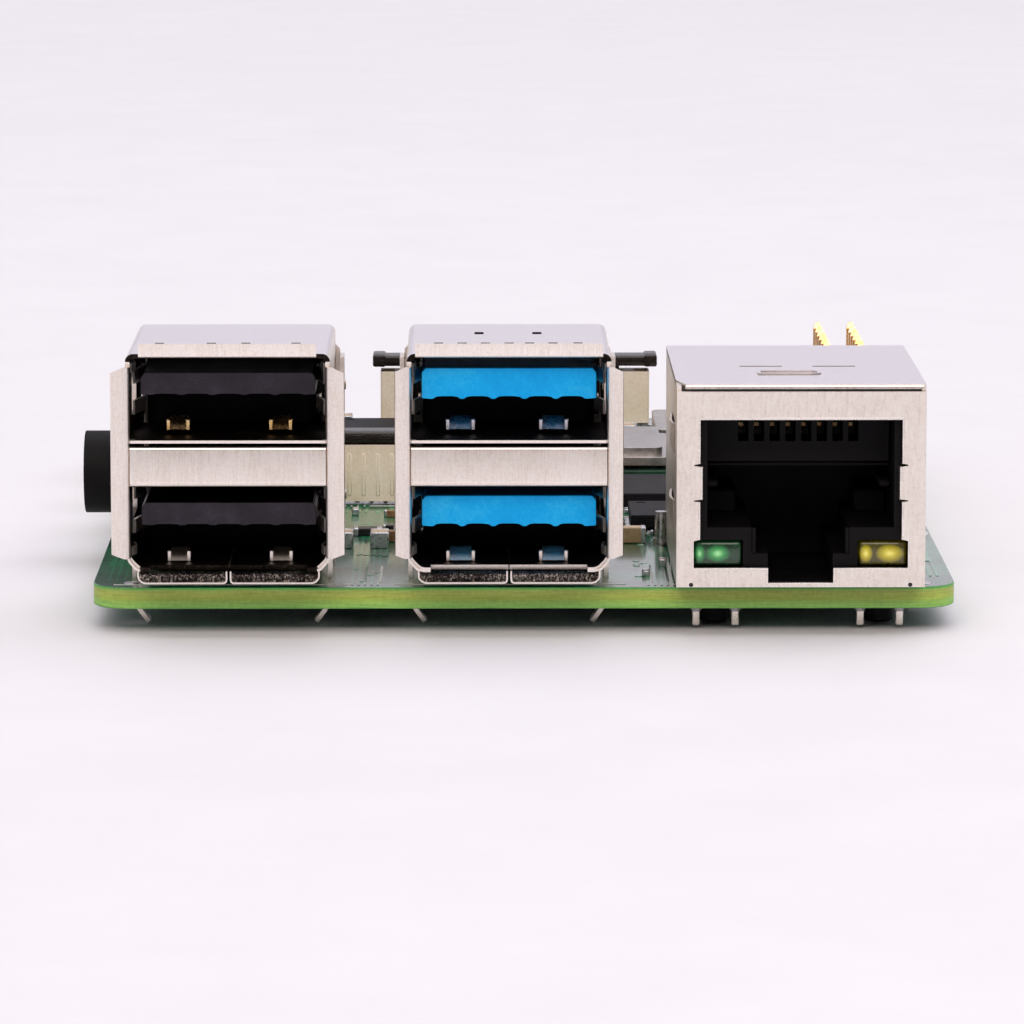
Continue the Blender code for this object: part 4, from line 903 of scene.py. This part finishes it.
def jackInside(x):
    near = corners("ethernet_housing")[0].y
    shape = bmesh.new()
    cavity = bothHalves(x, [(2.09, 0.62), (2.09, 2.4), (3.13, 2.4), (3.13, 4.1), (6.0, 4.1), (6.0, 11.2)])
    pockets = [rect(x + s * 5.32 - 1.62, up(1.52), x + s * 5.32 + 1.62, up(3.28)) for s in sides]
    outer = rect(x - 7.4, up(0.32), x + 7.4, up(12.9), 0.1)
    prism(shape, "y", near, 3.7, outer, cavity, *pockets)
    prism(shape, "y", near + 3.7, 8.7, outer, cavity)
    block(shape, (x - 7.4, near + 12.4, up(0.32)), (x + 7.4, near + 13.0, up(12.9)), 0.1)
    for s in sides:  # guide rails and latch shoulders inside the mouth, and a locating peg below
        pad(shape, x + s * 5.6, near + 7.45, 0.4, 4.75, up(6.3), up(6.8), 0.12)
        pad(shape, x + s * 4.9, near + 9.7, 1.1, 2.5, up(4.0), up(5.6), 0.15)
        pad(shape, x + s * 3.0, near + 0.1, 0.13, 0.2, up(2.4), up(4.1), 0.05)
        post(shape, x + s * 5.35, near + 4.9, up(0.4), up(-2.6), 1.0, sides=28)
        post(shape, x + s * 5.35, near + 4.9, up(-2.55), up(-2.75), 0.98, 0.8, 28)
    block(shape, (x - 5.9, near + 3.3, up(7.62)), (x + 5.9, near + 3.7, up(7.9)), 0.08)
    finishPiece(shape, "jackHousing", "black", ["ethernet_housing"], bevel=0.05)

    low, high = corners("ethernet_contact_comb")
    shape = bmesh.new()
    slots = [rect(x + (k - 3.5) * 1.02 - 0.31, low.z + 0.1, x + (k - 3.5) * 1.02 + 0.31, high.z + 0.02)
             for k in range(8)]
    prism(shape, "y", low.y, high.y - low.y, rect(x - 5.9, up(7.95), x + 5.9, high.z + 0.25), *slots)
    finishPiece(shape, "contactComb", "black", ["ethernet_contact_comb"], bevel=0.06)

    shape = bmesh.new()
    contacts = ["ethernet_contact_%d" % (k + 1) for k in range(8)]
    for node in contacts:
        low, high = corners(node)
        at = (low.x + high.x) / 2
        strip(shape, "x", [(low.y + 3.2, high.z - 0.5), (low.y + 3.9, high.z - 0.6), (high.y - 0.5, low.z + 0.12),
                           (high.y, low.z + 0.22)], 0.24, at - 0.15, at + 0.15, 0.7)
    finishPiece(shape, "jackContacts", "gold", contacts, "ethernet_contact_set")

    for tone in ("green", "yellow"):
        low, high = lampBox("ethernet_%s_lamp" % tone)
        shape = bmesh.new()
        block(shape, (low.x + 0.05, low.y, low.z + 0.04), (high.x - 0.05, high.y, high.z - 0.02), 0.22, 3)
        finishPiece(shape, tone + "Lamp", tone + "Lamp", ["ethernet_%s_lamp" % tone])
    shape = bmesh.new()
    for s in sides:
        for a in jackSizes["lampLeads"]:
            pad(shape, x + s * a, near + 2.9, 0.25, 0.25, 0.14, up(1.8), 0.12, 3)
    finishPiece(shape, "lampLeads", "cutEdge")

    low, high = corners("ethernet_magnetics")
    shape = bmesh.new()
    block(shape, low, high, 0.3, 2)
    for k in range(6):
        at = low.x + 1.6 + k * (high.x - low.x - 3.2) / 5
        block(shape, (at - 0.4, high.y - 0.1, low.z + 0.5), (at + 0.4, high.y + 0.12, high.z - 1.0), 0.1)
    finishPiece(shape, "jackMagnetics", "black", ["ethernet_magnetics"])


low, high = corners("ethernet_shield")
jackX = (low.x + high.x) / 2
jackShield(jackX, low.y, (high.x - low.x) / 2)
jackInside(jackX)
print("network jack made")


audioSizes = {"noseRadius": 2.85, "boreRadius": 1.75, "axisHeight": 3.3, "noseLength": 2.2}


def audioJack():
    low, high = corners("audio_jack")
    y, axis = (low.y + high.y) / 2, up(audioSizes["axisHeight"])
    body = low.x + audioSizes["noseLength"]
    shape = bmesh.new()

    def ring(radius):
        return hole((y, axis), radius, 48)

    bore = audioSizes["boreRadius"]
    prism(shape, "x", low.x, audioSizes["noseLength"] + 0.2, ring(audioSizes["noseRadius"]), ring(bore))
    prism(shape, "x", body, high.x - 0.9 - body, rect(low.y, up(0.3), high.y, high.z, 0.35), ring(bore))
    block(shape, (high.x - 0.95, low.y + 0.2, up(0.3)), (high.x, high.y - 0.2, high.z - 0.2), 0.2, 2)
    for s in sides:
        rib = y + s * 3.5
        block(shape, (body + 1.2, rib - 0.16, up(1.0)), (high.x - 2.0, rib + 0.16, up(2.0)), 0.1, 2)
    finishPiece(shape, "audioJack", "black", ["audio_jack"], bevel=0.12)
    shape = bmesh.new()  # bright throat liner, and the feet soldered beside the body
    prism(shape, "x", low.x + 0.9, 3.2, ring(bore - 0.01), ring(bore - 0.14))
    for at in (body + 1.6, high.x - 2.2):
        for s in sides:
            strip(shape, "x", [(y + s * 3.3, up(0.8)), (y + s * 3.75, up(0.8)), (y + s * 3.8, up(0.06)),
                               (y + s * 4.5, up(0.06))], 0.14 * s, at - 0.6, at + 0.6, 0.15)
    finishPiece(shape, "audioContacts", "tin")


def chargingRing(low, high, y):  # outline of the charging port, rounded to a stadium
    half = (high.z - low.z) / 2
    return lambda inset: roundLoop(rect(low.y + inset, low.z + inset, high.y - inset, high.z - inset),
                                   half * 0.98 - inset, 8)


def videoRing(low, high, y):  # outline of a video port, narrower at its floor
    half = (high.y - low.y) / 2

    def ring(inset):
        right = [(half - 0.75 - inset * 0.7, low.z + inset), (half - inset, low.z + 0.9),
                 (half - inset, high.z - inset)]
        return roundLoop([(y - right[0][0], right[0][1])] + [(y + a, b) for a, b in right]
                         + [(y - a, b) for a, b in reversed(right[1:])], 0.3, 4)

    return ring


portKinds = {  # outline, wall, inset of the back, feet from front and back, their size, roof springs
    "charging": (chargingRing, 0.3, 0.1, (2.4, 1.4), (0.5, 0.2, 1.4), (2.6, 4.6, 2.2, 0.5, 0.06)),
    "video": (videoRing, 0.28, 0.12, (2.0, 1.3), (0.45, 0.18, 1.3), (2.2, 4.4, 1.6, 0.35, 0.05)),
}
contactKinds = {  # rounding of the tongue, count, pitch and half width of its contacts, bare tongue front and back
    "charging": (0.18, 12, 0.5, 0.13, 0.5, 0.5),
    "video": (0.15, 9, 0.4, 0.11, 0.3, 0.4),
}


def sidePort(name, kind, shellNode, tongueNode):
    low, high, x, y = spot(shellNode)
    outline, wall, backInset, (footFront, footBack), (footHalf, footIn, footHigh), spring = portKinds[kind]
    springFront, springBack, springAt, springHalf, springRise = spring
    ring = outline(low, high, y)
    half = (high.y - low.y) / 2
    shape = bmesh.new()
    prism(shape, "x", low.x, high.x - low.x, ring(0.0), ring(wall))
    prism(shape, "x", high.x - 0.3, 0.3, ring(backInset))
    for s in sides:
        for at in (low.x + footFront, high.x - footBack):  # soldered feet
            block(shape, (at - footHalf, y + s * half - footIn, up(-0.6)),
                  (at + footHalf, y + s * half + 0.1, up(footHigh)), 0.08, 2)
        block(shape, (low.x + springFront, y + s * springAt - springHalf, high.z - 0.05),
              (low.x + springBack, y + s * springAt + springHalf, high.z + springRise), springRise, 2)
    finishPiece(shape, name + "Shell", "shell", [shellNode], bevel=0.05)
    rounding, count, pitch, contactHalf, bareFront, bareBack = contactKinds[kind]
    low, high = corners(tongueNode)
    shape = bmesh.new()
    block(shape, low, high, rounding, 2)
    finishPiece(shape, name + "Tongue", "black", [tongueNode])
    shape = bmesh.new()
    for k in range(count):
        at = (low.y + high.y) / 2 + (k - (count - 1) / 2) * pitch
        block(shape, (low.x + bareFront, at - contactHalf, low.z - 0.03),
              (high.x - bareBack, at + contactHalf, high.z + 0.03), 0.02)
    finishPiece(shape, name + "Contacts", "gold")


audioJack()
sidePort("charging", "charging", "usb_c_shell", "usb_c_tongue")
sidePort("videoRear", "video", "video_1_shell", "video_1_tongue")
sidePort("videoFront", "video", "video_2_shell", "video_2_tongue")
print("side ports made")


ribbonSizes = {"contacts": 15, "pitch": 1.0, "slit": 0.5, "latchDrop": {"camera": 0.3, "display": 0.0},
               "tails": {"camera": 1, "display": -1}}  # which side of the body the solder tails come out


def ribbonConnector(name):  # a flex-cable connector whose dark latch lifts
    bodyNode, latchNode = name + "_connector_body", name + "_connector_latch"
    low, high = corners(bodyNode)
    x, y = (low.x + high.x) / 2, (low.y + high.y) / 2
    halfX, slit = (high.x - low.x) / 2, ribbonSizes["slit"] / 2
    count, pitch = ribbonSizes["contacts"], ribbonSizes["pitch"]
    shape = bmesh.new()
    prism(shape, "z", low.z, high.z - low.z, inner(low, high, 0, 0.15),
          rect(x - 8.4, y - slit, x + 8.4, y + slit), rect(x - halfX + 0.12, y - 0.8, x - halfX + 1.1, y + 0.8),
          rect(x + halfX - 1.1, y - 0.8, x + halfX - 0.12, y + 0.8))
    for k in range(count + 1):  # ribs between the contacts on the long faces
        for face in (low.y, high.y):
            pad(shape, x + (k - count / 2) * pitch, face, 0.14, 0.06, low.z + 0.4, high.z - 0.6, 0.04)
    finishPiece(shape, name + "Body", "cream", [bodyNode], bevel=0.06)
    shape = bmesh.new()
    tail = y + ribbonSizes["tails"][name] * 1.3 + 0.05
    for k in range(count):  # solder tails along the foot, and plates for the two ends
        pad(shape, x + (k - (count - 1) / 2) * pitch, tail, 0.15, 0.65, boardTop, up(0.16), 0.03)
    for s in sides:
        pad(shape, x + s * (halfX - 0.2), y, 0.7, 1.1, boardTop, up(0.18), 0.04)
    finishPiece(shape, name + "Feet", "tin")
    low, high = corners(latchNode)
    half = (high.x - low.x) / 2
    shape = bmesh.new()
    high.z -= ribbonSizes["latchDrop"][name]
    barLow = high.z - min(0.75, high.z - low.z)
    block(shape, (low.x, low.y, barLow), high, 0.16, 2)
    for s in sides:  # finger ears stand out at the ends
        ear = x + s * (half - 0.5)
        block(shape, (ear - 0.5, low.y - 0.12, barLow - 0.05), (ear + 0.5, high.y + 0.12, high.z + 0.12), 0.16, 2)
    pad(shape, x, y, 8.1, 0.16, max(low.z, high.z - 3.4), barLow + 0.2, 0.05)
    for k in range(8):
        pad(shape, x - 7 + k * 2, low.y + 0.08, 0.55, 0.12, barLow + 0.25, high.z - 0.18, 0.05)
    finishPiece(shape, name + "Latch", "darkLatch", [latchNode], name + "_latch")


ribbonConnector("camera")
ribbonConnector("display")
print("ribbon connectors made")


headerSizes = {"pitch": 2.54, "pin": 0.64, "plasticHigh": 2.84, "plasticLow": 0.3, "tip": 0.45}
headers = {"mainHeader": ("pin_header", 2, 20), "smallHeader": ("small_pin_header", 2, 2)}  # columns and rows


def pinSpots(node, columns, rows):
    low, high = corners(node)
    x, y, pitch = (low.x + high.x) / 2, (low.y + high.y) / 2, headerSizes["pitch"]
    return [[(x + (column - (columns - 1) / 2) * pitch, y + (row - (rows - 1) / 2) * pitch)
             for column in range(columns)] for row in range(rows)]


def pinHeader(name, node, columns, rows):
    low, high = corners(node)
    x, pitch = (low.x + high.x) / 2, headerSizes["pitch"]
    plastic, metal = bmesh.new(), bmesh.new()
    for row in pinSpots(node, columns, rows):
        at = row[0][1]
        # each position is a chamfered cell, notched from the next one
        prism(plastic, "z", up(headerSizes["plasticLow"]), headerSizes["plasticHigh"] - headerSizes["plasticLow"],
              rect(x - pitch * columns / 2, at - pitch / 2, x + pitch * columns / 2, at + pitch / 2, 0.42))
        for s in sides:
            pad(plastic, x + s * pitch * 0.55, at, 0.4, 0.4, boardTop, up(0.4), 0.08)
        for pinX, pinY in row:
            for end in (high.z, low.z):
                squarePin(metal, (pinX, pinY, up(1.0)), (pinX, pinY, end), headerSizes["pin"], headerSizes["tip"])
    finishPiece(plastic, name + "Plastic", "black", [node], bevel=0.06)
    finishPiece(metal, name + "Pins", "gold")


for name, row in headers.items():
    pinHeader(name, *row)
print("headers made")


chips = {  # name: node, whether it has leads all round
    "memoryChip": ("memory_chip", False),
    "usbController": ("usb_controller", True),
    "networkController": ("ethernet_controller", True),
    "powerController": ("power_controller", True),
}
leadSizes = {"pitch": 0.5, "halfWidth": 0.13, "inside": 0.3, "outside": 0.28, "height": 0.14}


def chip(name, node, leads):
    low, high, x, y = spot(node)
    shape = bmesh.new()
    prism(shape, "z", low.z + 0.05, high.z - 0.1 - low.z, inner(low, high, 0))
    prism(shape, "z", high.z - 0.06, 0.06, inner(low, high, 0.06), hole((low.x + 0.85, high.y - 0.85), 0.32, 20))
    finishPiece(shape, name, "epoxy", [node], bevel=0.05)
    if not leads:
        return
    shape = bmesh.new()
    count = int((high.x - low.x - 1.2) / leadSizes["pitch"])
    middle = (leadSizes["outside"] - leadSizes["inside"]) / 2  # from the package's side to a lead's middle
    length = (leadSizes["outside"] + leadSizes["inside"]) / 2
    for k in range(count + 1):
        at = (k - count / 2) * leadSizes["pitch"]
        for s in sides:
            edgeX, edgeY = s * ((high.x - low.x) / 2 + middle), s * ((high.y - low.y) / 2 + middle)
            pad(shape, x + at, y + edgeY, leadSizes["halfWidth"], length, boardTop, up(leadSizes["height"]), 0.03)
            pad(shape, x + edgeX, y + at, length, leadSizes["halfWidth"], boardTop, up(leadSizes["height"]), 0.03)
    finishPiece(shape, name + "Leads", "tin")


for name, row in chips.items():
    chip(name, *row)


def processorPackage():
    low, high, x, y = spot("processor")
    shape = bmesh.new()
    prism(shape, "z", low.z + 0.12, high.z - low.z - 0.12, inner(low, high, 0, 0.15))
    finishPiece(shape, "processorBase", "substrate", ["processor"], bevel=0.04)
    shape = bmesh.new()
    for k in range(16):  # solder balls round the rim
        at, rim = -6.75 + k * 0.9, 7.1
        for s in sides:
            post(shape, x + at, y + s * rim, boardTop, up(0.16), 0.24, sides=8)
            post(shape, x + s * rim, y + at, boardTop, up(0.16), 0.24, sides=8)
    finishPiece(shape, "processorBalls", "tin")
    low, high = corners("processor_lid")
    tall = high.z - low.z
    shape = bmesh.new()
    prism(shape, "z", low.z, tall * 0.5, roundLoop(inner(low, high, 0), 1.0, 5))
    prism(shape, "z", low.z + tall * 0.45, tall * 0.55, roundLoop(inner(low, high, 0.8), 0.8, 5))
    prism(shape, "z", low.z + tall * 0.4, tall * 0.2, hole((low.x + 1.2, low.y + 1.2), 0.3, 16))
    finishPiece(shape, "processorLid", "lid", ["processor_lid"], bevel=0.12, steps=3)


def wirelessCan():
    low, high, x, y = spot("wireless_shield_can")
    halfX, halfY = (high.x - low.x) / 2, (high.y - low.y) / 2
    shape = bmesh.new()
    prism(shape, "z", low.z + 0.12, high.z - low.z - 0.12, roundLoop(inner(low, high, 0), 0.8, 5))
    prism(shape, "z", high.z - 0.01, 0.05, roundLoop(inner(low, high, 0.9), 1.0, 5),
          roundLoop(inner(low, high, 1.2), 0.8, 5))
    for k in range(-2, 3):  # feet of the can, all round
        for s in sides:
            pad(shape, x + k * (halfX - 1.2) / 2, y + s * halfY, 0.5, 0.12, boardTop, up(0.3), 0.05)
            pad(shape, x + s * halfX, y + k * (halfY - 1.2) / 2, 0.12, 0.5, boardTop, up(0.3), 0.05)
    finishPiece(shape, "wirelessCan", "can", ["wireless_shield_can"], bevel=0.1)
    shape = bmesh.new()
    for i in sides + (0,):  # vent holes, drawn as dark dots of painted shade
        for j in sides + (0,):
            post(shape, x + i * 2.2, y + j * 2.6, high.z - 0.02, high.z + 0.015, 0.28, 0.24, 14)
    finishPiece(shape, "wirelessCanVentsPaintedShade", "resistor")


def smallSolids():
    for name, node in (("inductorRear", "inductor_1"), ("inductorFront", "inductor_2")):
        low, high, x, y = spot(node)
        shape = bmesh.new()
        prism(shape, "z", low.z + 0.1, high.z - low.z - 0.1, inner(low, high, 0, 0.5))
        prism(shape, "z", high.z - 0.03, 0.06, hole((x, y), 1.5), hole((x, y), 1.2))
        finishPiece(shape, name, "ferrite", [node], bevel=0.16, steps=3)
        shape = bmesh.new()
        for s in sides:
            pad(shape, x + s * 1.7, y, 0.45, 1.3, boardTop, up(0.25), 0.06)
        finishPiece(shape, name + "Ends", "tin")
    low, high, x, y = spot("crystal")
    tall = high.z - low.z
    shape = bmesh.new()
    prism(shape, "z", low.z, tall * 0.45, inner(low, high, 0, 0.15))
    prism(shape, "z", low.z + tall * 0.4, tall * 0.6, roundLoop(inner(low, high, 0.18), 0.4, 5))
    finishPiece(shape, "crystalCan", "can", ["crystal"], bevel=0.07)
    for name, node, look, slotName in (("powerLamp", "power_lamp", "redChip", "red_lamp"),
                                       ("activityLamp", "activity_lamp", "greenChip", "green_lamp")):
        low, high, x, y = spot(node)
        shape = bmesh.new()
        lensInset = Vector((0.3, 0.04, 0)) if high.x - low.x > high.y - low.y else Vector((0.04, 0.3, 0))
        prism(shape, "z", low.z + 0.02, (high.z - low.z) * 0.5, inner(low, high, 0.02, 0.1))
        block(shape, low + lensInset + Vector((0, 0, 0.1)), high - lensInset, 0.1, 2)
        finishPiece(shape, name, look, [node], bevel=0.03)


processorPackage()
wirelessCan()
smallSolids()
print("chips and cans made")


def cardSlot():  # memory card slot under the board
    low, high = corners("card_slot_shell")
    top, x, t = min(high.z, boardBottom), (low.x + high.x) / 2, 0.15
    shape = bmesh.new()
    prism(shape, "z", low.z, t, inner(low, high, 0, 0.3), rect(x - 4.2, low.y + 2.0, x - 1.2, low.y + 4.6),
          rect(x + 1.2, low.y + 2.0, x + 4.2, low.y + 4.6), hole((x, high.y - 3.2), 0.8, 28))
    for s in sides:
        wall = x + s * (high.x - low.x) / 2
        prism(shape, "x", min(wall, wall - s * t), t, rect(low.y + 0.3, low.z, high.y - 0.3, top),
              rect(low.y + 3, low.z + 0.35, low.y + 6, top - 0.25),
              rect(high.y - 5, low.z + 0.35, high.y - 3, top - 0.25))
        for at in (low.y + 1.2, high.y - 1.4):
            pad(shape, wall + s * 0.35, at, 0.45, 0.6, top - 0.16, top, 0.04)
        strip(shape, "x", [(low.y + 2.1, low.z + 0.1), (low.y + 3.6, low.z + 0.32), (low.y + 4.5, low.z + 0.2)],
              0.1, x + s * 2.7 - 1.0, x + s * 2.7 + 1.0, 0.4)
    finishPiece(shape, "cardSlotShell", "shell", ["card_slot_shell"], bevel=0.03)
    low, high = corners("card_slot_base")
    shape = bmesh.new()
    block(shape, low, high, 0.08, 2)
    for k in range(8):
        at = low.x + 1.6 + k * 1.25
        block(shape, (at, low.y + 0.2, low.z - 0.05), (at + 0.6, low.y + 2.4, low.z + 0.1), 0.03)
    finishPiece(shape, "cardSlotBase", "black", ["card_slot_base"])


cardSlot()


partKinds = {  # body length, width, height, share of each end cap, look
    "brown": (1.6, 0.8, 0.8, 0.2, "brownCap"),
    "tan": (2.0, 1.25, 1.1, 0.18, "tanCap"),
    "tiny": (1.0, 0.5, 0.5, 0.22, "brownCap"),
    "resistor": (1.0, 0.5, 0.35, 0.22, "resistor"),
    "widePart": (2.0, 1.25, 0.55, 0.2, "resistor"),
}
lanes = (  # parts beside the ports: kind, place from the board's middle, whether turned a quarter
    ("resistor", -10.9, -38.6, False), ("tan", -9.3, -33.4, False), ("brown", -10.8, -29.6, False),
    ("widePart", -9.0, -26.8, True), ("tiny", -11.2, -33, True), ("brown", -9.1, -22.6, False),
    ("resistor", 8.0, -37.5, True), ("brown", 7.0, -32.6, False), ("widePart", 7.6, -28.4, False),
    ("tiny", 9.2, -33.5, True), ("tan", 7.4, -23.0, False), ("resistor", 9.3, -19.6, False),
)
rows = (  # rows of nine beside the big chips: kind, first place, step to the next, whether turned
    ("tiny", -5.2, 4.2, 1.3, 0, True), ("brown", -4.6, 22.4, 2.1, 0, True), ("resistor", -6.2, 6, 0, 1.4, False),
    ("brown", 13.6, 5.4, 0, 1.5, False), ("tan", -12, -24.8, 2.4, 0, True), ("tiny", -6.5, -13.6, 1.3, 0, True),
    ("resistor", 6.2, -9.2, 1.3, 0, True), ("tan", -19.8, 36.3, 2.2, 0, True), ("resistor", -9, 26.2, 1.4, 0, True),
)


def halfSizes(kind, turned):
    length, width = partKinds[kind][:2]
    return (width / 2, length / 2) if turned else (length / 2, width / 2)


def smallParts():
    bodies = {look: bmesh.new() for look in ("brownCap", "tanCap", "resistor")}
    ends = bmesh.new()

    def put(kind, x, y, turned, base=boardTop, sign=1):
        length, width, height, cap, look = partKinds[kind]
        halfX, halfY = halfSizes(kind, turned)
        lower, upper = sorted((base + sign * 0.03, base + sign * (height - 0.02)))
        pad(bodies[look], x, y, halfX - 0.04, halfY - 0.03, lower, upper, 0.05)
        lower, upper = sorted((base, base + sign * height))
        capHalf = length * cap / 2
        for s in sides:
            if turned:
                pad(ends, x, y + s * (halfY - capHalf), halfX, capHalf, lower, upper, 0.06)
            else:
                pad(ends, x + s * (halfX - capHalf), y, capHalf, halfY, lower, upper, 0.06)

    def tryPut(kind, x, y, turned):
        halfX, halfY = halfSizes(kind, turned)
        x, y = centreX + x, centreY + y
        if isFree(x - halfX, y - halfY, x + halfX, y + halfY):
            footprints.append((x - halfX, y - halfY, x + halfX, y + halfY))
            put(kind, x, y, turned)

    for row in lanes:
        tryPut(*row)
    for k in range(9):
        for kind, x, y, stepX, stepY, turned in rows:
            tryPut(kind, x + k * stepX, y + k * stepY, turned)
    kinds = list(partKinds)
    for _ in range(520):
        kind = kinds[dice.choice((0, 2, 2, 3, 3, 3, 1, 4))]
        x, y = scatter(dice.uniform(-26, 20.5), dice.uniform(-40, 41), 0.5)
        turned = dice.random() < 0.5
        if y > -24 or x < -12:  # the lanes between the ports hold only the parts placed above
            tryPut(kind, x, y, turned)
    for _ in range(90):  # and a scatter on the underside, clear of the card slot and pins
        x, y = scatter(dice.uniform(-22, 19), dice.uniform(-16, 25), 0.75)
        kind = dice.choice(("tiny", "resistor", "tiny", "brown"))
        put(kind, centreX + x, centreY + y, dice.random() < 0.5, boardBottom, -1)
    for look, shape in bodies.items():
        finishPiece(shape, look + "Bodies", look)
    finishPiece(ends, "partEnds", "tin")
    shape = bmesh.new()  # a plated post beside the network jack
    x, y = centreX + 9.4, centreY - 24.2
    post(shape, x, y, boardTop, up(0.5), 0.55, 0.5, 20)
    post(shape, x, y, up(0.45), up(2.3), 0.42, 0.4, 20)
    finishPiece(shape, "platedPost", "tin")


smallParts()
print("small parts placed")


jointKinds = {  # solder cone: radius, height, wire radius, and length of the wire's tail below the board
    "shellLeg": (1.1, 0.45, 0.55, 0),
    "pin": (0.85, 0.55, 0.42, 0),
    "lead": (0.55, 0.5, 0.24, 1.1),
    "shortLead": (0.55, 0.5, 0.24, 1.0),
    "lampLead": (0.6, 0.4, 0.3, 0),
}


def solderSide():  # solder and tails under the board
    shape = bmesh.new()

    def joint(kind, x, y):
        radius, height, wireRadius, tail = jointKinds[kind]
        post(shape, x, y, boardBottom + 0.01, boardBottom - height, radius, wireRadius, 12)
        if tail:
            post(shape, x, y, boardBottom, boardBottom - tail, wireRadius, wireRadius * 0.6, 10)

    for row in headers.values():
        for pinX, pinY in sum(pinSpots(*row), []):
            joint("pin", pinX, pinY)
    for node, columns in (("usb_black_shield", 4), ("usb_blue_shield", 5)):
        low, high = corners(node)
        x = (low.x + high.x) / 2
        for s in sides:
            for leg in usbSizes["legs"]:
                joint("shellLeg", x + s * 6.2, low.y + leg)
        for row in range(4):
            for k in range(columns):
                joint("lead", x - 4.2 + k * (8.4 / (columns - 1)), low.y + 11.5 + row * 1.7)
    front = corners("ethernet_shield")[0].y
    for s in sides:
        joint("shellLeg", jackX + s * 7.6, front + jackSizes["depth"] - jackSizes["legFromBack"])
        for a in jackSizes["lampLeads"]:
            joint("lampLead", jackX + s * a, front + 3.5)
    for k in range(8):
        for near in (13.4, 18.2):
            joint("shortLead", jackX + (k - 3.5) * 1.27, front + (near if k % 2 else near + 1.8))
    finishPiece(shape, "solderJoints", "tin")


solderSide()
print("underside made")


studio = {
    "floorTones": "#EEEEF3 #F0F0F5 #F2F2F7",
    "floorDrop": 0.1,  # mm, just clear of the lowest lead ends
    "worldTones": ((0.0, "#767276"), (0.22, "#7C787C"), (0.55, "#F3EFF3"), (1.0, "#F9F6FB")),  # nadir to zenith
    "worldStrength": 0.6,
    "skyStrength": 1.24,
    "skySpread": 85,  # degrees across
    "softboxes": {  # place, aim, size in metres, power, tone
        "overheadSoftbox": ((0.05, 0.10, 0.75), (0, 0, 0), (0.9, 0.7), 0.3, "#FBF8FF"),
        "frontSoftbox": ((-0.08, -1.7, 1.4), (0, 0, 0.01), (2.4, 0.7), 20.0, "#FFEBDD"),
        "backSoftbox": ((0, 2.2, 0.55), (0, 0, 0.02), (3.2, 0.7), 1.6, "#FBF6FF"),  # low, lifts the level roofs
    },
}


def placeInScene(name, data):  # puts a lamp, a camera or the floor in the scene
    made = bpy.data.objects.new(name, data)
    bpy.context.scene.collection.objects.link(made)
    return made


shape = bmesh.new()
bmesh.ops.create_grid(shape, x_segments=1, y_segments=1, size=4000)
bmesh.ops.translate(shape, vec=(0, 0, -studio["floorDrop"]), verts=shape.verts)
rim = [edge for edge in shape.edges if edge.is_boundary and all(vert.co.y > 0 for vert in edge.verts)]
wall = bmesh.ops.extrude_edge_only(shape, edges=rim)["geom"]
bmesh.ops.translate(shape, vec=(0, 0, 3000), verts=[item for item in wall if isinstance(item, bmesh.types.BMVert)])
bend = [edge for edge in shape.edges if len(edge.link_faces) == 2]
bmesh.ops.bevel(shape, geom=bend, offset=1500, offset_type="OFFSET", segments=14, profile=0.5, affect="EDGES",
                material=-1)
bmesh.ops.scale(shape, vec=(1 / metre,) * 3, verts=shape.verts)
for face in shape.faces:
    face.smooth = True
mesh = bpy.data.meshes.new("paperSweep")
shape.to_mesh(mesh)
shape.free()
# matt paper: a pale lilac white with barely visible fibre clouds
mesh.materials.append(grained("palePaper", studio["floorTones"], 12.0, 160.0, 0.5, (0.6, 0.75), 0.01))
placeInScene("paperSweep", mesh)

world = bpy.data.worlds.new("studio")
bpy.context.scene.world = world
world.use_nodes = True
sky = world.node_tree.nodes["Background"]
upward = addNode(world, "ShaderNodeTexCoord", out="Generated")
height = addNode(world, "ShaderNodeSeparateXYZ", links={"Vector": upward}, out="Z")
tone = addNode(world, "ShaderNodeValToRGB", links={"Fac": height}, stops=studio["worldTones"])
world.node_tree.links.new(tone, sky.inputs["Color"])
sky.inputs["Strength"].default_value = studio["worldStrength"]

for name, (at, aim, size, power, tone) in studio["softboxes"].items():
    data = bpy.data.lights.new(name, "AREA")
    data.shape = "RECTANGLE"
    data.size, data.size_y = size
    data.energy = power
    data.color = colour(tone)[:3]
    lamp = placeInScene(name, data)
    lamp.location = at
    lamp.rotation_euler = (Vector(aim) - Vector(at)).to_track_quat("-Z", "Y").to_euler()

data = bpy.data.lights.new("broadSky", "SUN")  # a wide, even light from above and a little behind
data.energy, data.angle = studio["skyStrength"], math.radians(studio["skySpread"])
data.color = colour("#FCF9FF")[:3]
placeInScene("broadSky", data).rotation_euler = (math.radians(-14), math.radians(16), 0)

lens = bpy.data.cameras.new("portSideCamera")
lens.sensor_width = 36
lens.lens = 214.8
lens.clip_start, lens.clip_end = 0.01, 50
camera = placeInScene("portSideCamera", lens)
camera.location = (-0.0025065, -0.4311139, 0.0644858)
camera.rotation_euler = (math.pi / 2 - 0.1444, 0, -0.0072)
bpy.context.scene.camera = camera
bpy.context.scene.view_settings.view_transform = "Standard"
print("studio set")
